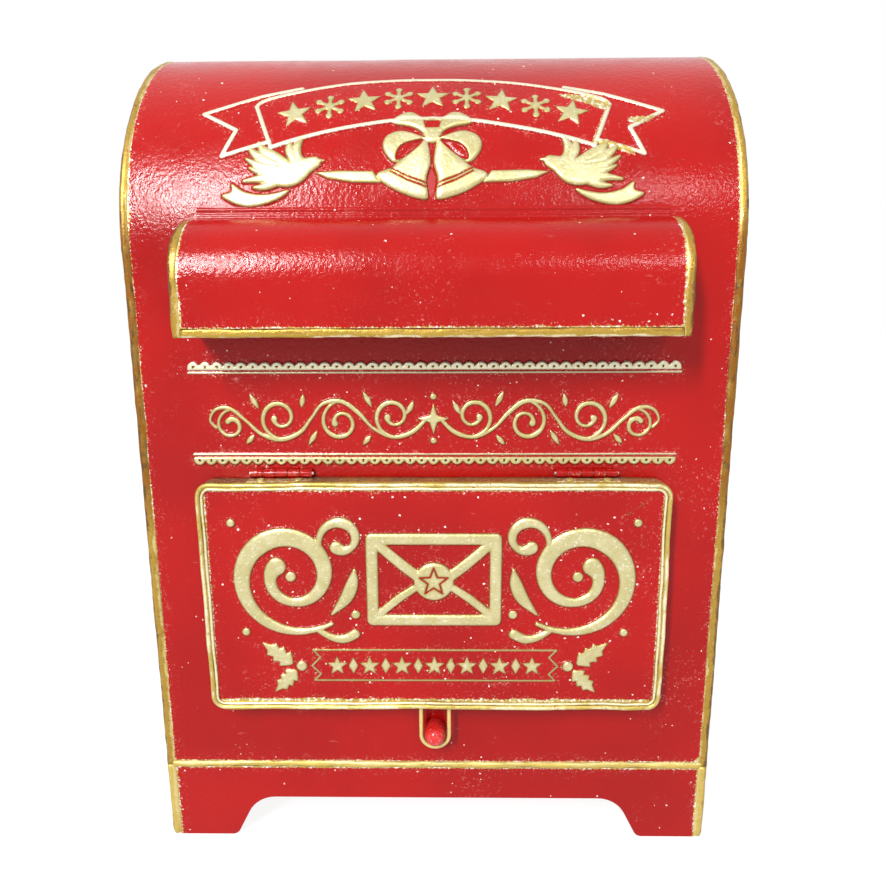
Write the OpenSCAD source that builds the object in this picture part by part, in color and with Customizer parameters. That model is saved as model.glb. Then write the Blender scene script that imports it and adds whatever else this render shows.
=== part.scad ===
// Tin letter and money box: a sheet-metal case with a rounded roof, a hooded slot,
// a lift-up door on two small hinges, and a skirt with bracket feet.
// X is left to right, the front faces -Y, and Z is up from the floor the feet stand on.

/* [Case] */
// Width over the rolled side seams
case_w = 250; // [200:1:320]
// Depth over the rolled side seams, front to back
case_d = 192; // [160:1:240]
// Height from the floor to the top of the side seams
case_h = 364; // [340:1:460]
// Thickness of every sheet
sheet_t = 0.5; // [0.3:0.1:1]
// Width of a rolled seam, seen from the front
seam_w = 3.4; // [3:0.1:4]
// Depth of a rolled seam, measured in from its outer face
seam_h = 3.6; // [3.4:0.1:4.5]
// How far a seam stands proud of the sheet beside it
seam_proud = 1; // [0.6:0.1:1.4]

/* [Base] */
// Height of the centre of the rolled bead where the skirt meets the case
bead_z = 37.6; // [30:0.1:50]
// Diameter of that bead
bead_d = 3.2; // [2.6:0.1:3.6]
// Height of the opening between the feet
arch_h = 20; // [12:1:24]
// Width of a front foot, seam included
foot_w = 31; // [20:1:45]
// Width of a side foot, seam included
side_foot_w = 29; // [20:1:40]
// Slant of a foot's inner edge, in degrees from upright
foot_lean = 27; // [0:1:40]

/* [Hood and slot] */
// How far the hood reaches out past the front seams
hood_out = 25; // [20:1:35]
// Width of the hood over its end seams
hood_w = 193; // [180:1:210]
// Height of the hood's lower edge
hood_low = 233.6; // [225:0.1:240]
// Width of the hood's rolled edges
hood_edge = 3.2; // [2.6:0.1:4]
// Height of the flange that holds the hood on
flange_h = 5; // [4:0.5:8]
// Width of the slot
slot_w = 170; // [120:1:172]
// Height of the slot
slot_h = 14; // [8:1:16]
// Height of the slot's centre
slot_z = 251; // [248:1:254]

/* [Door] */
// Width of the door
door_w = 196; // [150:1:210]
// Height of the door
door_h = 102; // [80:1:110]
// Height of the door's top edge
door_top = 174; // [165:1:180]
// Depth of the door, from the case to its rolled edge
door_deep = 11.2; // [8:0.1:14]
// Radius of the door's corners
door_r = 6; // [4.5:0.5:14]
// Diameter of the door's rolled edge
door_bead_d = 3; // [2.4:0.1:4]
// How far the opening in the case lies inside the door's edge
lap = 10; // [8:1:14]

/* [Hinges] */
// Length of a hinge
hinge_l = 26; // [20:1:40]
// Distance from the middle of the door to the middle of a hinge
hinge_x = 64; // [50:1:80]
// Outer radius of a knuckle
knuckle_r = 1.8; // [1.6:0.1:1.9]
// Radius of a hinge pin
pin_r = 0.9; // [0.7:0.05:1]

/* [Latch] */
// Height of the knob's centre
knob_z = 57.5; // [54:0.5:62]
// Diameter of the knob
knob_d = 9.1; // [8:0.1:9.6]
// Clear width inside the wire loop
loop_in = 10.6; // [10.4:0.1:12]
// Diameter of the loop's wire
wire_d = 1.8; // [1.6:0.1:2.4]

/* [Hidden] */
$fn = 64;
eps = 0.01;
gap = 0.4;                                    // clearance between the door and the case

// Case
shift = hood_out / 2;                         // puts the origin under the middle of the bounding box
seam_r = case_d / 2;                          // outer radius of the side seams' arch
sheet_r = seam_r - seam_proud;                // outer radius of the roof
arch_z = case_h - seam_r;                     // where the roof's curve begins
side_x = case_w / 2 - 0.4;                    // outer face of the side seams
seam_corner = 1.1;                            // round on a seam's edges
wrap_x = side_x - seam_w;                     // edge of the wrapped sheet
panel_x = case_w / 2 - seam_proud;            // outer face of the side panels
seam_in = seam_r - seam_h;                    // inner radius of the side seams
sheet_y = -sheet_r;                           // outer face of the front sheet
wall_low = bead_z + bead_d / 2;               // lower edge of the case's walls
skirt_top = bead_z - bead_d / 2;
brow_r = 14;                                  // round at the top of a foot's inner edge
toe_r = 4;                                    // round at the bottom of it
arc_steps = 8;
lap_h = 8;                                    // overlap of the roof sheet and the back panel

// Hood
hood_x = hood_w / 2;                          // outer face of the hood's end seams
seam_thick = 2.2;                             // thickness of the rolled edge at each end of the hood
edge_proud = 0.6;                             // how far the hood's rolled edges stand out from its sheet
hood_r = hood_out - edge_proud + seam_proud;  // outer radius of the hood sheet
hood_cy = sheet_y;                            // centre of the hood's curve
hood_cz = 253.5;
hood_seam_x = hood_x - hood_edge;             // inner edge of a hood seam
end_x = hood_x - 0.8;                         // outer face of an end cap

// Door
door_low = door_top - door_h;
door_cz = door_top - door_h / 2;
door_back = sheet_y - gap;                    // back edge of the door's walls
door_front = door_back - door_deep;
plate_y = door_front + 1.8;                   // front face of the door's panel
bite = 0.8;                                   // how far the rolled edge holds the panel
opening_w = door_w - 2 * lap;
opening_h = door_h - 2 * lap;
opening_r = 5;                                // round in the opening's corners

// Hinges
axis_y = sheet_y - 0.6 - knuckle_r;
axis_z = door_top + 0.4 + knuckle_r;
knuckles = 5;
knuckle_l = hinge_l / knuckles;
knuckle_gap = 0.3;
knuckle_room = 0.35;                          // space between a knuckle and the other leaf
pin_fit = 0.05;
leaf_reach = 5;                               // how far a door leaf runs along the door's top wall
leaf_plate_h = 12;                            // height of a case leaf's plate, inside the case
leaf_z = axis_z + knuckle_r - sheet_t;        // underside of the case leaf
rivet_y = axis_y - knuckle_r - knuckle_room - leaf_reach / 2;
rivet_r = 0.8;
rivet_head_r = 1.5;
rivet_head_h = 0.5;

// Latch
loop_y = door_back - door_deep * 0.55;
loop_r = (loop_in + wire_d) / 2;
knob_r = knob_d / 2;
stem_r = 2;
neck_l = 1;                                   // length of the knob's narrow neck
washer_t = 0.8;
washer_r = 4.5;
nut_h = 3.2;
nut_r = 4;                                    // over the nut's corners
knob_tip = door_front - 0.4;                  // front of the knob

// Turns a shape so that its x, y and z run along Y, Z and X.
module along_x() { rotate([90, 0, 90]) children(); }

// Stands a flat shape up, facing the front, and extrudes it from y0 forwards.
module forward(y0, depth) { translate([0, y0, 0]) rotate([90, 0, 0]) linear_extrude(depth) children(); }

module rounded_rect(w, h, r) {
    square([w - 2 * r, h], center = true);
    square([w, h - 2 * r], center = true);
    for (sx = [-1, 1], sy = [-1, 1]) translate([sx * (w / 2 - r), sy * (h / 2 - r)]) circle(r);
}

// Outline of the case seen from the side: straight up to the roof's curve.
module arch_outline(r, low) {
    translate([-r, low]) square([2 * r, arch_z - low]);
    translate([0, arch_z]) circle(r, $fn = 180);
}

// A round bead along a rectangle with rounded corners, measured to the bead's centre line.
module bead_ring(w, h, corner, r) {
    for (sx = [0, 1], sy = [0, 1]) mirror([sx, 0, 0]) mirror([0, sy, 0])
        translate([w / 2 - corner, h / 2 - corner, 0])
            rotate_extrude(angle = 90) translate([corner, 0]) circle(r, $fn = 32);
    for (s = [-1, 1]) {
        translate([-(w / 2 - corner), s * h / 2, 0]) rotate([0, 90, 0])
            cylinder(h = w - 2 * corner, r = r, $fn = 32);
        translate([s * w / 2, -(h / 2 - corner), 0]) rotate([-90, 0, 0])
            cylinder(h = h - 2 * corner, r = r, $fn = 32);
    }
}

// One embossed sheet that makes the front and the roof. It has the slot, the door opening,
// two slits for the hinges and a hole for the knob.
module front_and_roof_sheet() {
    color([0.78, 0.07, 0.06]) difference() {
        along_x() translate([0, 0, -wrap_x]) linear_extrude(2 * wrap_x) difference() {
            arch_outline(sheet_r, wall_low);
            arch_outline(sheet_r - sheet_t, wall_low - 1);
            translate([0, wall_low - 1]) square([sheet_r + 1, arch_z - lap_h - wall_low + 1]);
        }
        translate([0, 0, door_cz]) forward(sheet_y + 5, 10) rounded_rect(opening_w, opening_h, opening_r);
        translate([0, 0, slot_z]) forward(sheet_y + 5, 10) square([slot_w, slot_h], center = true);
        for (s = [-1, 1]) translate([s * hinge_x - hinge_l / 2 - 0.2, sheet_y - 5, leaf_z - 0.1])
            cube([hinge_l + 0.4, 10, sheet_t + 0.2]);
        translate([0, sheet_y + 5, knob_z]) rotate([90, 0, 0]) cylinder(h = 10, r = stem_r + 0.1);
    }
}

// Flat back, lapped inside the roof sheet.
module back_panel() {
    color([0.74, 0.06, 0.05]) translate([-wrap_x, sheet_r - 2 * sheet_t, wall_low])
        cube([2 * wrap_x, sheet_t, arch_z - wall_low]);
}

// Side wall, set in from the seam around it. side is 1 on the right and -1 on the left.
module side_panel(side) {
    color([0.76, 0.07, 0.06]) along_x()
        translate([0, 0, side > 0 ? panel_x - sheet_t : -panel_x]) linear_extrude(sheet_t)
            arch_outline(seam_in, wall_low);
}

// Section of a seam, with the distance from the roof's axis along x.
module seam_profile() {
    translate([seam_r - seam_h / 2, side_x - seam_w / 2]) rounded_rect(seam_h, seam_w, seam_corner);
}

// Straight upright length of seam at the right rear corner.
module seam_bar(h) { linear_extrude(h) rotate(90) mirror([0, 1]) seam_profile(); }

// Rolled seam that joins a side panel to the wrapped sheet, up the front, over the roof and down the back.
module side_seam(side) {
    color([0.80, 0.68, 0.33]) mirror([side > 0 ? 0 : 1, 0, 0]) {
        along_x() translate([0, arch_z, 0]) rotate_extrude(angle = 180, $fn = 180) seam_profile();
        for (back = [0, 1]) mirror([0, back, 0]) translate([0, 0, wall_low]) seam_bar(arch_z - wall_low);
    }
}

// Bottom of the case. Its lip turns down inside the skirt and its corners are notched for the seams.
module floor_pan() {
    lip = 8;
    half_x = panel_x - sheet_t;
    half_y = sheet_r - sheet_t;
    color([0.74, 0.06, 0.05]) difference() {
        translate([-half_x, -half_y, skirt_top - lip]) cube([2 * half_x, 2 * half_y, lip]);
        translate([-half_x + sheet_t, -half_y + sheet_t, skirt_top - lip - 1])
            cube([2 * (half_x - sheet_t), 2 * (half_y - sheet_t), lip + 1 - sheet_t]);
        for (sx = [0, 1], sy = [0, 1]) mirror([sx, 0, 0]) mirror([0, sy, 0])
            translate([wrap_x, seam_in, skirt_top - lip - 1]) cube([10, 10, lip + 2]);
    }
}

// Rolled bead between the case and the skirt, right round the box.
module base_bead() {
    color([0.80, 0.68, 0.33]) translate([0, 0, bead_z])
        bead_ring(case_w - bead_d, case_d - bead_d, 3, bead_d / 2);
}

// Points along an arc.
function arc(centre, r, from, to) = [for (i = [0:arc_steps])
    let (turn = from + (to - from) * i / arc_steps) centre + r * [cos(turn), sin(turn)]];

// Right half of the opening between two feet: flat on top, round into a slanted edge, and round out at the toe.
function foot_edge(half) =
    let (brow_x = half - (brow_r + (arch_h - brow_r) * sin(foot_lean)) / cos(foot_lean),
         toe_x = half + toe_r * (1 - sin(foot_lean)) / cos(foot_lean))
    concat(arc([brow_x, arch_h - brow_r], brow_r, 90, foot_lean), arc([toe_x, toe_r], toe_r, 180 + foot_lean, 270));

module foot_opening(half) {
    for (side = [0, 1]) mirror([side, 0])
        polygon(concat([[-1, -1], [-1, arch_h]], foot_edge(half), [[half + toe_r, -1]]));
}

module skirt_plate(half_w, half_open) {
    difference() {
        translate([-half_w, 0]) square([2 * half_w, skirt_top]);
        foot_opening(half_open);
    }
}

module front_skirt() {
    color([0.80, 0.08, 0.07]) forward(sheet_y + sheet_t, sheet_t) skirt_plate(wrap_x, case_w / 2 - foot_w);
}

module back_skirt() {
    color([0.78, 0.07, 0.06]) forward(-sheet_y, sheet_t) skirt_plate(wrap_x, case_w / 2 - foot_w);
}

module side_skirt(side) {
    color([0.78, 0.07, 0.06]) along_x()
        translate([0, 0, side > 0 ? panel_x - sheet_t : -panel_x]) linear_extrude(sheet_t)
            skirt_plate(seam_in, case_d / 2 - side_foot_w);
}

// Rolled seam up each corner of the skirt.
module skirt_corner_seams() {
    color([0.80, 0.68, 0.33]) for (sx = [0, 1], sy = [0, 1]) mirror([sx, 0, 0]) mirror([0, sy, 0])
        seam_bar(skirt_top);
}

// Side view of the hood between its outer radius and a skin thickness inside it.
module hood_outline(out, skin, low) {
    r = hood_r + out;
    intersection() {
        difference() {
            translate([hood_cy, hood_cz]) circle(r, $fn = 96);
            translate([hood_cy, hood_cz]) circle(r - skin, $fn = 96);
        }
        translate([hood_cy - r - 1, hood_cz]) square([r + 1, r + 1]);
    }
    translate([hood_cy - r, low]) square([skin, hood_cz - low]);
}

// Curved sheet over the slot, with a flange that follows the roof above it.
module hood_sheet() {
    top = hood_cz + hood_r;
    web_inset = 0.1;
    color([0.80, 0.08, 0.07]) along_x() translate([0, 0, -hood_seam_x]) linear_extrude(2 * hood_seam_x) {
        hood_outline(0, sheet_t, hood_low + hood_edge);
        difference() {
            translate([hood_cy - 1, top - sheet_t + web_inset]) square([5, sheet_t - 2 * web_inset]);
            arch_outline(sheet_r, wall_low);
        }
        intersection() {
            difference() {
                arch_outline(sheet_r + sheet_t, wall_low);
                arch_outline(sheet_r, wall_low);
            }
            translate([-sheet_r - 5, top - sheet_t]) square([20, flange_h + sheet_t]);
        }
    }
}

// Flat cap that closes one end of the hood.
module hood_end(side) {
    r = hood_r + edge_proud - seam_thick;
    color([0.78, 0.07, 0.06]) along_x()
        translate([0, 0, side > 0 ? end_x - sheet_t : -end_x]) linear_extrude(sheet_t) difference() {
            union() {
                intersection() {
                    translate([hood_cy, hood_cz]) circle(r, $fn = 96);
                    translate([hood_cy - r - 1, hood_cz - 1]) square([r + 1, r + 2]);
                }
                translate([hood_cy - r, hood_low]) square([r, hood_cz - hood_low]);
            }
            arch_outline(sheet_r, wall_low);
        }
}

// Rolled edge at each end of the hood, down its front and along its curve.
module hood_seam(side) {
    color([0.80, 0.68, 0.33]) along_x()
        translate([0, 0, side > 0 ? hood_seam_x : -hood_x]) linear_extrude(hood_edge)
            hood_outline(edge_proud, seam_thick, hood_low);
}

// Rolled hem along the hood's lower edge.
module hood_lip_hem() {
    thick = 1.8;
    hem_y = hood_cy - hood_r - edge_proud + thick / 2;
    color([0.80, 0.68, 0.33]) translate([-hood_seam_x, hem_y, hood_low + hood_edge / 2])
        along_x() linear_extrude(2 * hood_seam_x) rounded_rect(thick, hood_edge, 0.8);
}

// Knob on the case, with a threaded stem held by a nut inside.
module knob() {
    stem_end = sheet_y + sheet_t + washer_t + nut_h + 1;
    color([0.72, 0.04, 0.05]) {
        translate([0, knob_tip + knob_r, knob_z]) sphere(knob_r);
        translate([0, sheet_y - neck_l, knob_z]) rotate([90, 0, 0])
            cylinder(h = sheet_y - neck_l - knob_tip - knob_r, r = knob_r);
        translate([0, sheet_y, knob_z]) rotate([90, 0, 0]) cylinder(h = neck_l + eps, r = stem_r + 1);
        translate([0, stem_end, knob_z]) rotate([90, 0, 0]) cylinder(h = stem_end - sheet_y + eps, r = stem_r);
    }
}

// Washer between the nut and the case.
module knob_washer() {
    color([0.62, 0.62, 0.62]) translate([0, sheet_y + sheet_t, knob_z]) rotate([-90, 0, 0]) difference() {
        cylinder(h = washer_t, r = washer_r);
        translate([0, 0, -1]) cylinder(h = washer_t + 2, r = stem_r + pin_fit);
    }
}

// Nut on the knob's stem.
module knob_nut() {
    color([0.62, 0.62, 0.62]) translate([0, sheet_y + sheet_t + washer_t, knob_z])
        rotate([-90, 0, 0]) difference() {
            cylinder(h = nut_h, r = nut_r, $fn = 6);
            translate([0, 0, -1]) cylinder(h = nut_h + 2, r = stem_r + pin_fit);
        }
}

// The knuckles whose number is in list, along one hinge, bored for the pin.
module knuckle_row(list) {
    for (i = list) translate([-hinge_l / 2 + i * knuckle_l + knuckle_gap / 2, axis_y, axis_z])
        rotate([0, 90, 0]) cylinder(h = knuckle_l - knuckle_gap, r = knuckle_r, $fn = 48);
}

module pin_bore() {
    translate([-hinge_l / 2 - 1, axis_y, axis_z]) rotate([0, 90, 0])
        cylinder(h = hinge_l + 2, r = pin_r + pin_fit);
}

// Boxes that join a leaf to its own knuckles.
module knuckle_tongues(list, y0, y1, z0) {
    for (i = list) translate([-hinge_l / 2 + i * knuckle_l + knuckle_gap / 2, y0, z0])
        cube([knuckle_l - knuckle_gap, y1 - y0, sheet_t]);
}

// Case leaf: its web goes through a slit in the front sheet to a plate inside.
module hinge_case_leaf(side) {
    own = [0, 2, 4];
    web_front = axis_y + knuckle_r + knuckle_room;
    inside_y = sheet_y + sheet_t;
    color([0.76, 0.07, 0.06]) translate([side * hinge_x, 0, 0]) difference() {
        union() {
            knuckle_row(own);
            knuckle_tongues(own, axis_y, web_front, leaf_z);
            translate([-hinge_l / 2, web_front - eps, leaf_z])
                cube([hinge_l, inside_y - web_front + sheet_t, sheet_t]);
            translate([-hinge_l / 2, inside_y, leaf_z]) cube([hinge_l, sheet_t, leaf_plate_h]);
        }
        pin_bore();
    }
}

// Door leaf: lies on the door's top wall.
module hinge_door_leaf(side) {
    own = [1, 3];
    leaf_back = axis_y - knuckle_r - knuckle_room;
    color([0.80, 0.68, 0.33]) translate([side * hinge_x, 0, 0]) difference() {
        union() {
            knuckle_row(own);
            knuckle_tongues(own, leaf_back - eps, axis_y, door_top);
            translate([-hinge_l / 2, leaf_back - leaf_reach, door_top]) cube([hinge_l, leaf_reach, sheet_t]);
        }
        pin_bore();
        rivet_places() cylinder(h = 4, r = rivet_r + pin_fit, center = true);
    }
}

// Pin through the knuckles of one hinge.
module hinge_pin(side) {
    color([0.62, 0.62, 0.62]) translate([side * hinge_x - hinge_l / 2 - 0.4, axis_y, axis_z])
        rotate([0, 90, 0]) cylinder(h = hinge_l + 0.8, r = pin_r);
}

// Where the rivets stand, on one hinge.
module rivet_places() {
    for (s = [-1, 1]) translate([s * hinge_l * 0.3, rivet_y, door_top]) children();
}

// Rivets through the door leaves and the door's top wall.
module hinge_rivets() {
    shank = 2 * (sheet_t + rivet_head_h) - 2 * eps;
    color([0.80, 0.68, 0.33]) for (side = [-1, 1]) translate([side * hinge_x, 0, 0]) rivet_places() {
        translate([0, 0, sheet_t]) cylinder(h = rivet_head_h, r = rivet_head_r);
        translate([0, 0, -sheet_t - rivet_head_h]) cylinder(h = rivet_head_h, r = rivet_head_r);
        translate([0, 0, -sheet_t - rivet_head_h + eps]) cylinder(h = shank, r = rivet_r);
    }
}

// Walls of the door, with a rolled bead along the front edge.
module door_frame() {
    half_bead = door_bead_d / 2;
    color([0.82, 0.70, 0.36]) difference() {
        union() {
            translate([0, 0, door_cz]) forward(door_back, door_deep - half_bead) difference() {
                rounded_rect(door_w, door_h, door_r);
                rounded_rect(door_w - 2 * sheet_t, door_h - 2 * sheet_t, door_r - sheet_t);
            }
            translate([0, door_front + half_bead, door_cz]) rotate([90, 0, 0])
                bead_ring(door_w - door_bead_d, door_h - door_bead_d, door_r - half_bead, half_bead);
        }
        for (side = [-1, 1]) translate([side * hinge_x, 0, 0]) rivet_places()
            cylinder(h = 6, r = rivet_r + pin_fit, center = true);
        for (s = [-1, 1]) translate([s * loop_r, loop_y, door_low - 1])
            cylinder(h = 3, r = wire_d / 2 + pin_fit);
        door_plate();
    }
}

// The plate itself, let into the rolled edge all round.
module door_plate() {
    inset = 2 * (door_bead_d - bite);
    translate([0, 0, door_cz]) forward(plate_y + sheet_t, sheet_t)
        rounded_rect(door_w - inset, door_h - inset, door_r - inset / 2);
}

// Embossed plate that closes the door.
module door_panel() { color([0.78, 0.07, 0.06]) door_plate(); }

// Wire loop under the door that drops over the knob. Its legs end inside the door's lower wall.
module latch_loop() {
    leg_head = 1.2;
    leg_top = door_low + sheet_t + leg_head;
    color([0.82, 0.70, 0.36]) {
        translate([0, loop_y, knob_z]) rotate([90, 0, 0]) rotate([0, 0, 180])
            rotate_extrude(angle = 180) translate([loop_r, 0]) circle(wire_d / 2, $fn = 32);
        for (s = [-1, 1]) {
            translate([s * loop_r, loop_y, knob_z]) cylinder(h = leg_top - knob_z, r = wire_d / 2, $fn = 32);
            translate([s * loop_r, loop_y, door_low + sheet_t])
                cylinder(h = leg_head, r = wire_d / 2 + 0.7, $fn = 32);
        }
    }
}

module placed() { translate([0, shift, 0]) children(); }

placed() front_and_roof_sheet();
placed() back_panel();
placed() side_panel(-1);  // left_side_panel
placed() side_panel(1);  // right_side_panel
placed() side_seam(-1);  // left_side_seam
placed() side_seam(1);  // right_side_seam
placed() floor_pan();
placed() base_bead();
placed() front_skirt();
placed() back_skirt();
placed() side_skirt(-1);  // left_skirt
placed() side_skirt(1);  // right_skirt
placed() skirt_corner_seams();
placed() hood_sheet();
placed() hood_end(-1);  // hood_left_end
placed() hood_end(1);  // hood_right_end
placed() hood_seam(-1);  // hood_left_seam
placed() hood_seam(1);  // hood_right_seam
placed() hood_lip_hem();
placed() knob();
placed() knob_washer();
placed() knob_nut();
placed() hinge_case_leaf(-1);  // left_hinge_case_leaf
placed() hinge_case_leaf(1);  // right_hinge_case_leaf
placed() hinge_pin(-1);  // left_hinge_pin
placed() hinge_pin(1);  // right_hinge_pin
placed() door_frame();
placed() door_panel();
placed() hinge_door_leaf(-1);  // left_hinge_door_leaf
placed() hinge_door_leaf(1);  // right_hinge_door_leaf
placed() hinge_rivets();
placed() latch_loop();
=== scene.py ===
"""Looks of the tin money box: embossed red enamel, hand-brushed gold edges and relief."""

import math

import bpy
import numpy as np
from mathutils import Matrix, Vector


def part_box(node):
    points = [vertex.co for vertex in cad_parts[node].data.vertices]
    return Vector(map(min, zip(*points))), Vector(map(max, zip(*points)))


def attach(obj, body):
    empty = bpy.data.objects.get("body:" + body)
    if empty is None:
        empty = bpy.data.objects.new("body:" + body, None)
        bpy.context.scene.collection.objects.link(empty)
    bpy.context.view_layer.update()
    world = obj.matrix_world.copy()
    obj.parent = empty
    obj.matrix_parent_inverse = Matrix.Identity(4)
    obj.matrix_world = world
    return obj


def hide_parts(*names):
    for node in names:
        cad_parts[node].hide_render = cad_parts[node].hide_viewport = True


MM = 0.001
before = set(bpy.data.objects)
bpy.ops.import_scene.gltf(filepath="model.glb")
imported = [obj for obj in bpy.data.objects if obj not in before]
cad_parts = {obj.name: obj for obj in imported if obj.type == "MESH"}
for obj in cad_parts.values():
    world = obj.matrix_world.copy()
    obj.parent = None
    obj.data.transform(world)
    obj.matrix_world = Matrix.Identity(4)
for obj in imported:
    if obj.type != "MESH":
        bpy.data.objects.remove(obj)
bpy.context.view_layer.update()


# ---------------------------------------------------------------- places, in millimetres, from the frame


def span(node):
    """Lowest and highest corners of a CAD node, in millimetres."""
    low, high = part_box(node)
    return np.array(low) / MM, np.array(high) / MM


sheet_low, sheet_high = span("front_and_roof_sheet")
bead_low, bead_high = span("base_bead")
door_low, door_high = span("door_frame")
plate_low, plate_high = span("door_panel")
hood_low, hood_high = span("hood_sheet")
hem_low, hem_high = span("hood_lip_hem")
knob_low, knob_high = span("knob")
loop_low, loop_high = span("latch_loop")

FRONT_Y = sheet_low[1]
ROOF_R = (sheet_high[1] - sheet_low[1]) / 2
MID_Y = (sheet_high[1] + sheet_low[1]) / 2
ARCH_Z = sheet_high[2] - ROOF_R
ROOF_END = ARCH_Z + math.pi * ROOF_R
SHEET_X = sheet_high[0]
SHEET_LOW = sheet_low[2]

DOOR_LAP = 10.0
DOOR_CORNER = 6.0
DOOR_RIM = 3.4
SLOT_HALF_W = 85.0
SLOT_LOW, SLOT_HIGH = 244.0, 258.0
LACE_LOW, LACE_HIGH = 177.4, 226.6
ROOF_LOW, ROOF_HIGH = 281.0, 350.6
BACK_LAP = 8.0
SEAM_COVER = 2.6                # how much of a side wall's edge lies behind its seam
SEAM_HALF = 1.8                 # half the thickness of a rolled seam
BROWN_LOW, BROWN_HIGH = 148, 286    # heights between which the gold of the side seams is darker and browner
CROWN = 0.22                    # how far a sheet stands proud, so that no dent reaches its CAD sheet

FINE = 0.42      # grid step across ornament
SPILL = 0.4      # how far the gold of a rolled edge runs onto the sheet
SKIN = 0.06      # how far a detailed sheet lies outside its CAD sheet
BOLD = 1.25      # how much the ornament's heights are raised
PAINT_RIM = 0.3  # how far past a shape's edge its tone reaches
FAR = 99.0


# ---------------------------------------------------------------- ornament: distances on a flat sheet


def wander(x, y, size, seed=0):
    """Smooth random values from -1 to 1 that change over about `size`, the same on every run."""
    x, y = np.asarray(x, float) / size, np.asarray(y, float) / size
    ix, iy = np.floor(x).astype(np.int64), np.floor(y).astype(np.int64)
    fx, fy = x - ix, y - iy
    fx, fy = fx * fx * (3 - 2 * fx), fy * fy * (3 - 2 * fy)

    def lattice(i, j):
        n = (i * 374761393 + j * 668265263 + seed * 362437) & 0xFFFFFFFF
        n = ((n ^ (n >> 13)) * 1274126177) & 0xFFFFFFFF
        return ((n ^ (n >> 16)) & 0xFFFF) / 32767.5 - 1

    low = lattice(ix, iy) * (1 - fx) + lattice(ix + 1, iy) * fx
    high = lattice(ix, iy + 1) * (1 - fx) + lattice(ix + 1, iy + 1) * fx
    return low * (1 - fy) + high * fy


def overrun(reach, x, y, seed, broad=0.5, fine=0.35, size=9, fine_size=2.6):
    """How far brushed gold runs past an edge: about reach, but uneven."""
    return reach * (1 + broad * wander(x, y, size, seed) + fine * wander(x, y, fine_size, seed + 1))


def smooth(points, closed=False, step=0.6):
    """Catmull-Rom curve through a few points."""
    p = np.array(points, float)
    n = len(p)
    at = (lambda i: p[i % n]) if closed else (lambda i: p[min(max(i, 0), n - 1)])
    out = []
    for i in range(n if closed else n - 1):
        a, b, c, d = at(i - 1), at(i), at(i + 1), at(i + 2)
        count = max(2, int(np.hypot(*(c - b)[:2]) / step))
        for t in np.arange(count) / count:
            curve = (2 * a - 5 * b + 4 * c - d) * t**2 + (3 * b - a - 3 * c + d) * t**3
            out.append(0.5 * (2 * b + (c - a) * t + curve))
    if not closed:
        out.append(p[-1])
    return np.array(out)


def to_segment(x, s, a, b):
    """Distance from the segment a to b, and how far along it the nearest place is, from 0 to 1."""
    dx, dy = b[0] - a[0], b[1] - a[1]
    t = np.clip(((x - a[0]) * dx + (s - a[1]) * dy) / max(dx * dx + dy * dy, 1e-9), 0, 1)
    return np.hypot(x - a[0] - t * dx, s - a[1] - t * dy), t


class Shape:
    """A flat shape. Subclasses give the distance to it, which is below nought inside."""

    def __init__(self, points, reach=0.0):
        self.p = points
        low, high = points[:, :2].min(axis=0) - reach, points[:, :2].max(axis=0) + reach
        self.box = (low[0], high[0], low[1], high[1])

    def mirrored(self):
        return type(self)(self.p * ([-1] + [1] * (self.p.shape[1] - 1)), curved=False)


class Stroke(Shape):
    """A brush line of changing radius. Each point is x, s and radius."""

    def __init__(self, points, curved=True):
        points = smooth(points) if curved else np.array(points, float)
        super().__init__(points, points[:, 2].max())

    def distance(self, x, s):
        best = np.full(x.shape, FAR)
        for a, b in zip(self.p[:-1], self.p[1:]):
            gap, t = to_segment(x, s, a, b)
            best = np.minimum(best, gap - (a[2] + t * (b[2] - a[2])))
        return best


class Patch(Shape):
    """A filled outline. Each point is x, s."""

    def __init__(self, points, curved=True):
        super().__init__(smooth(points, closed=True) if curved else np.array(points, float))

    def distance(self, x, s):
        best = np.full(x.shape, FAR)
        inside = np.zeros(x.shape, bool)
        for a, b in zip(self.p, np.roll(self.p, -1, axis=0)):
            best = np.minimum(best, to_segment(x, s, a, b)[0])
            if b[1] != a[1]:
                level = (b[0] - a[0]) * (s - a[1]) / (b[1] - a[1]) + a[0]
                inside ^= ((a[1] > s) != (b[1] > s)) & (x < level)
        return np.where(inside, -best, best)


def both(shape):
    return shape, shape.mirrored()


def ball(x, s, r):
    return Stroke([(x, s, r), (x + 0.01, s, r)], curved=False)


def line(points, r):
    """A line of one width through points, with sharp corners."""
    return Stroke([(x, s, r) for x, s in points], curved=False)


def star(x, s, r, points=5, inner=0.42, turn=90):
    """A star with straight edges."""
    corners = []
    for i in range(2 * points):
        a = math.radians(turn + 180 * i / points)
        reach = r if i % 2 == 0 else r * inner
        corners.append((x + reach * math.cos(a), s + reach * math.sin(a)))
    return Patch(corners, curved=False)


def volute(x, s, r0, r1, start, turns, width, clockwise=False):
    """A spiral stroke from radius r0 to r1. width gives (how far along, radius) pairs."""
    points = []
    for u in np.linspace(0, 1, 61):
        a = math.radians(start) + (-1 if clockwise else 1) * 2 * math.pi * turns * u
        r = r0 + (r1 - r0) * u**0.8
        points.append((x + r * math.cos(a), s + r * math.sin(a), np.interp(u, *zip(*width))))
    return Stroke(points, curved=False)


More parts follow.
